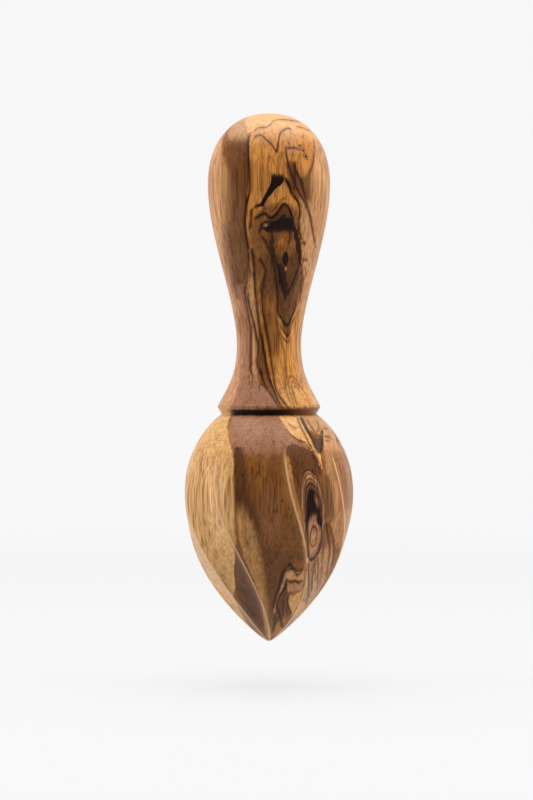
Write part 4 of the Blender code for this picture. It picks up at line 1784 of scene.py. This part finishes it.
@dataclass(frozen=True)
class Studio:
    """The plain white studio: floor, lights, surroundings and camera."""

    floor_drop: float = 0.0128
    floor_radius: float = 0.9
    floor_corners: int = 96
    floor_fade: Pair = (0.12, 0.8)
    floor_strength: float = 0.22
    floor_colour: Colour = (0.52, 0.52, 0.52, 1.0)
    floor_roughness: float = 0.9
    floor_shine: float = 0.1
    eye: Triple = (-0.0007, -0.618, 0.0686)
    lens: float = 97.7
    sensor: float = 36.0
    # the room's light from in front of the wood to behind it, what comes from below, and how white it looks
    room_front: float = 0.24
    room_back: float = 0.80
    room_depth: Pair = (-0.9, 0.8)
    room_floor: float = 0.55
    room_rise: Pair = (-0.9, 0.1)
    room_seen: float = 0.935
    softboxes: tuple[Softbox, ...] = (
        Softbox("overhead_softbox", (0.0, -0.02, 0.80), (0.0, 0.0, 0.10), (1.0, 0.8), 10.0, True),
        Softbox("left_softbox", (-0.95, -0.10, 0.30), (0.0, 0.0, 0.07), (0.5, 0.8), 6.0, False),
        Softbox("right_softbox", (0.92, -0.20, 0.26), (0.0, 0.0, 0.07), (0.5, 0.8), 6.0, False),
    )

    def build(self) -> None:
        """Sets up the whole studio."""
        self.floor()
        self.camera()
        self.surroundings()
        for box in self.softboxes:
            self.softbox(box)

    def floor(self) -> None:
        """A round white floor that fades away before its rim."""
        mesh = bpy.data.meshes.new("studio_floor")
        corners = range(self.floor_corners)
        angles = [2 * math.pi * corner / self.floor_corners for corner in corners]
        rim = [(math.cos(angle), math.sin(angle)) for angle in angles]
        points = [(self.floor_radius * x, self.floor_radius * y, -self.floor_drop) for x, y in rim]
        mesh.from_pydata(points, [], [tuple(corners)])
        made = bpy.data.objects.new("studio_floor", mesh)
        bpy.context.scene.collection.objects.link(made)
        material = bpy.data.materials.new("white_floor")
        material.use_nodes = True
        sheet = Sheet(material.node_tree)
        shader = material.node_tree.nodes["Principled BSDF"]
        x, y, _ = sheet.parts(sheet.add("TexCoord").outputs["Object"])
        away = sheet.length(x, y)
        near = sheet.rest(sheet.smooth(away, *self.floor_fade))
        shader.inputs["Base Color"].default_value = self.floor_colour
        shader.inputs["Roughness"].default_value = self.floor_roughness
        shader.inputs["Specular IOR Level"].default_value = self.floor_shine
        sheet.feed(shader.inputs["Alpha"], sheet.times(near, self.floor_strength))
        mesh.materials.append(material)

    def camera(self) -> None:
        """The level camera in front of the reamer."""
        lens = bpy.data.cameras.new("camera")
        lens.lens = self.lens
        lens.sensor_width = self.sensor
        made = bpy.data.objects.new("camera", lens)
        made.location = self.eye
        made.rotation_euler = (math.pi / 2, 0.0, 0.0)
        bpy.context.scene.collection.objects.link(made)
        bpy.context.scene.camera = made

    def surroundings(self) -> None:
        """A white room, which lights the wood more gently than it looks."""
        world = bpy.data.worlds.new("white_room")
        world.use_nodes = True
        world.node_tree.nodes.clear()
        sheet = Sheet(world.node_tree)
        seen = sheet.add("LightPath").outputs["Is Camera Ray"]
        _, deep, up = sheet.parts(sheet.add("TexCoord").outputs["Generated"])
        light = sheet.ramp(sheet.smooth(deep, *self.room_depth), 0.0, 1.0, self.room_front, self.room_back)
        below = sheet.rest(sheet.smooth(up, *self.room_rise))
        light = sheet.plus(light, sheet.times(below, self.room_floor))
        mix = {0: seen, 2: light, 3: self.room_seen}
        strength = sheet.add("ShaderNodeMix", mix, data_type="FLOAT").outputs[0]
        room = sheet.add("Background", {"Color": (1.0, 1.0, 1.0, 1.0), "Strength": strength})
        sheet.add("OutputWorld", {"Surface": room.outputs[0]})
        bpy.context.scene.world = world
        bpy.context.scene.view_settings.view_transform = "Standard"

    @staticmethod
    def softbox(box: Softbox) -> None:
        """Sets up one softbox, turned towards its target.

        Args:
            box: The softbox.
        """
        light = bpy.data.lights.new(box.name, "AREA")
        light.shape = "RECTANGLE"
        light.size, light.size_y = box.size
        light.energy = box.power
        made = bpy.data.objects.new(box.name, light)
        made.location = box.place
        made.visible_glossy = box.glossy
        away = Vector(box.place) - Vector(box.target)
        made.rotation_euler = away.to_track_quat("Z", "Y").to_euler()
        bpy.context.scene.collection.objects.link(made)


def main() -> None:
    """Builds the reamer in its studio and reports each piece."""
    logging.basicConfig(level=logging.INFO, format="%(name)s: %(message)s")
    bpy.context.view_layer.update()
    Studio().build()
    LOG.info("studio ready")
    body = Body()
    finish = OliveWood(Drawing(body.outline, body.flutes)).material()
    piece = body.build(finish)
    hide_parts("reamer_body")
    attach(piece, "root")
    LOG.info("%s has %d faces", piece.name, len(piece.data.polygons))


if __name__ == "__main__":
    main()
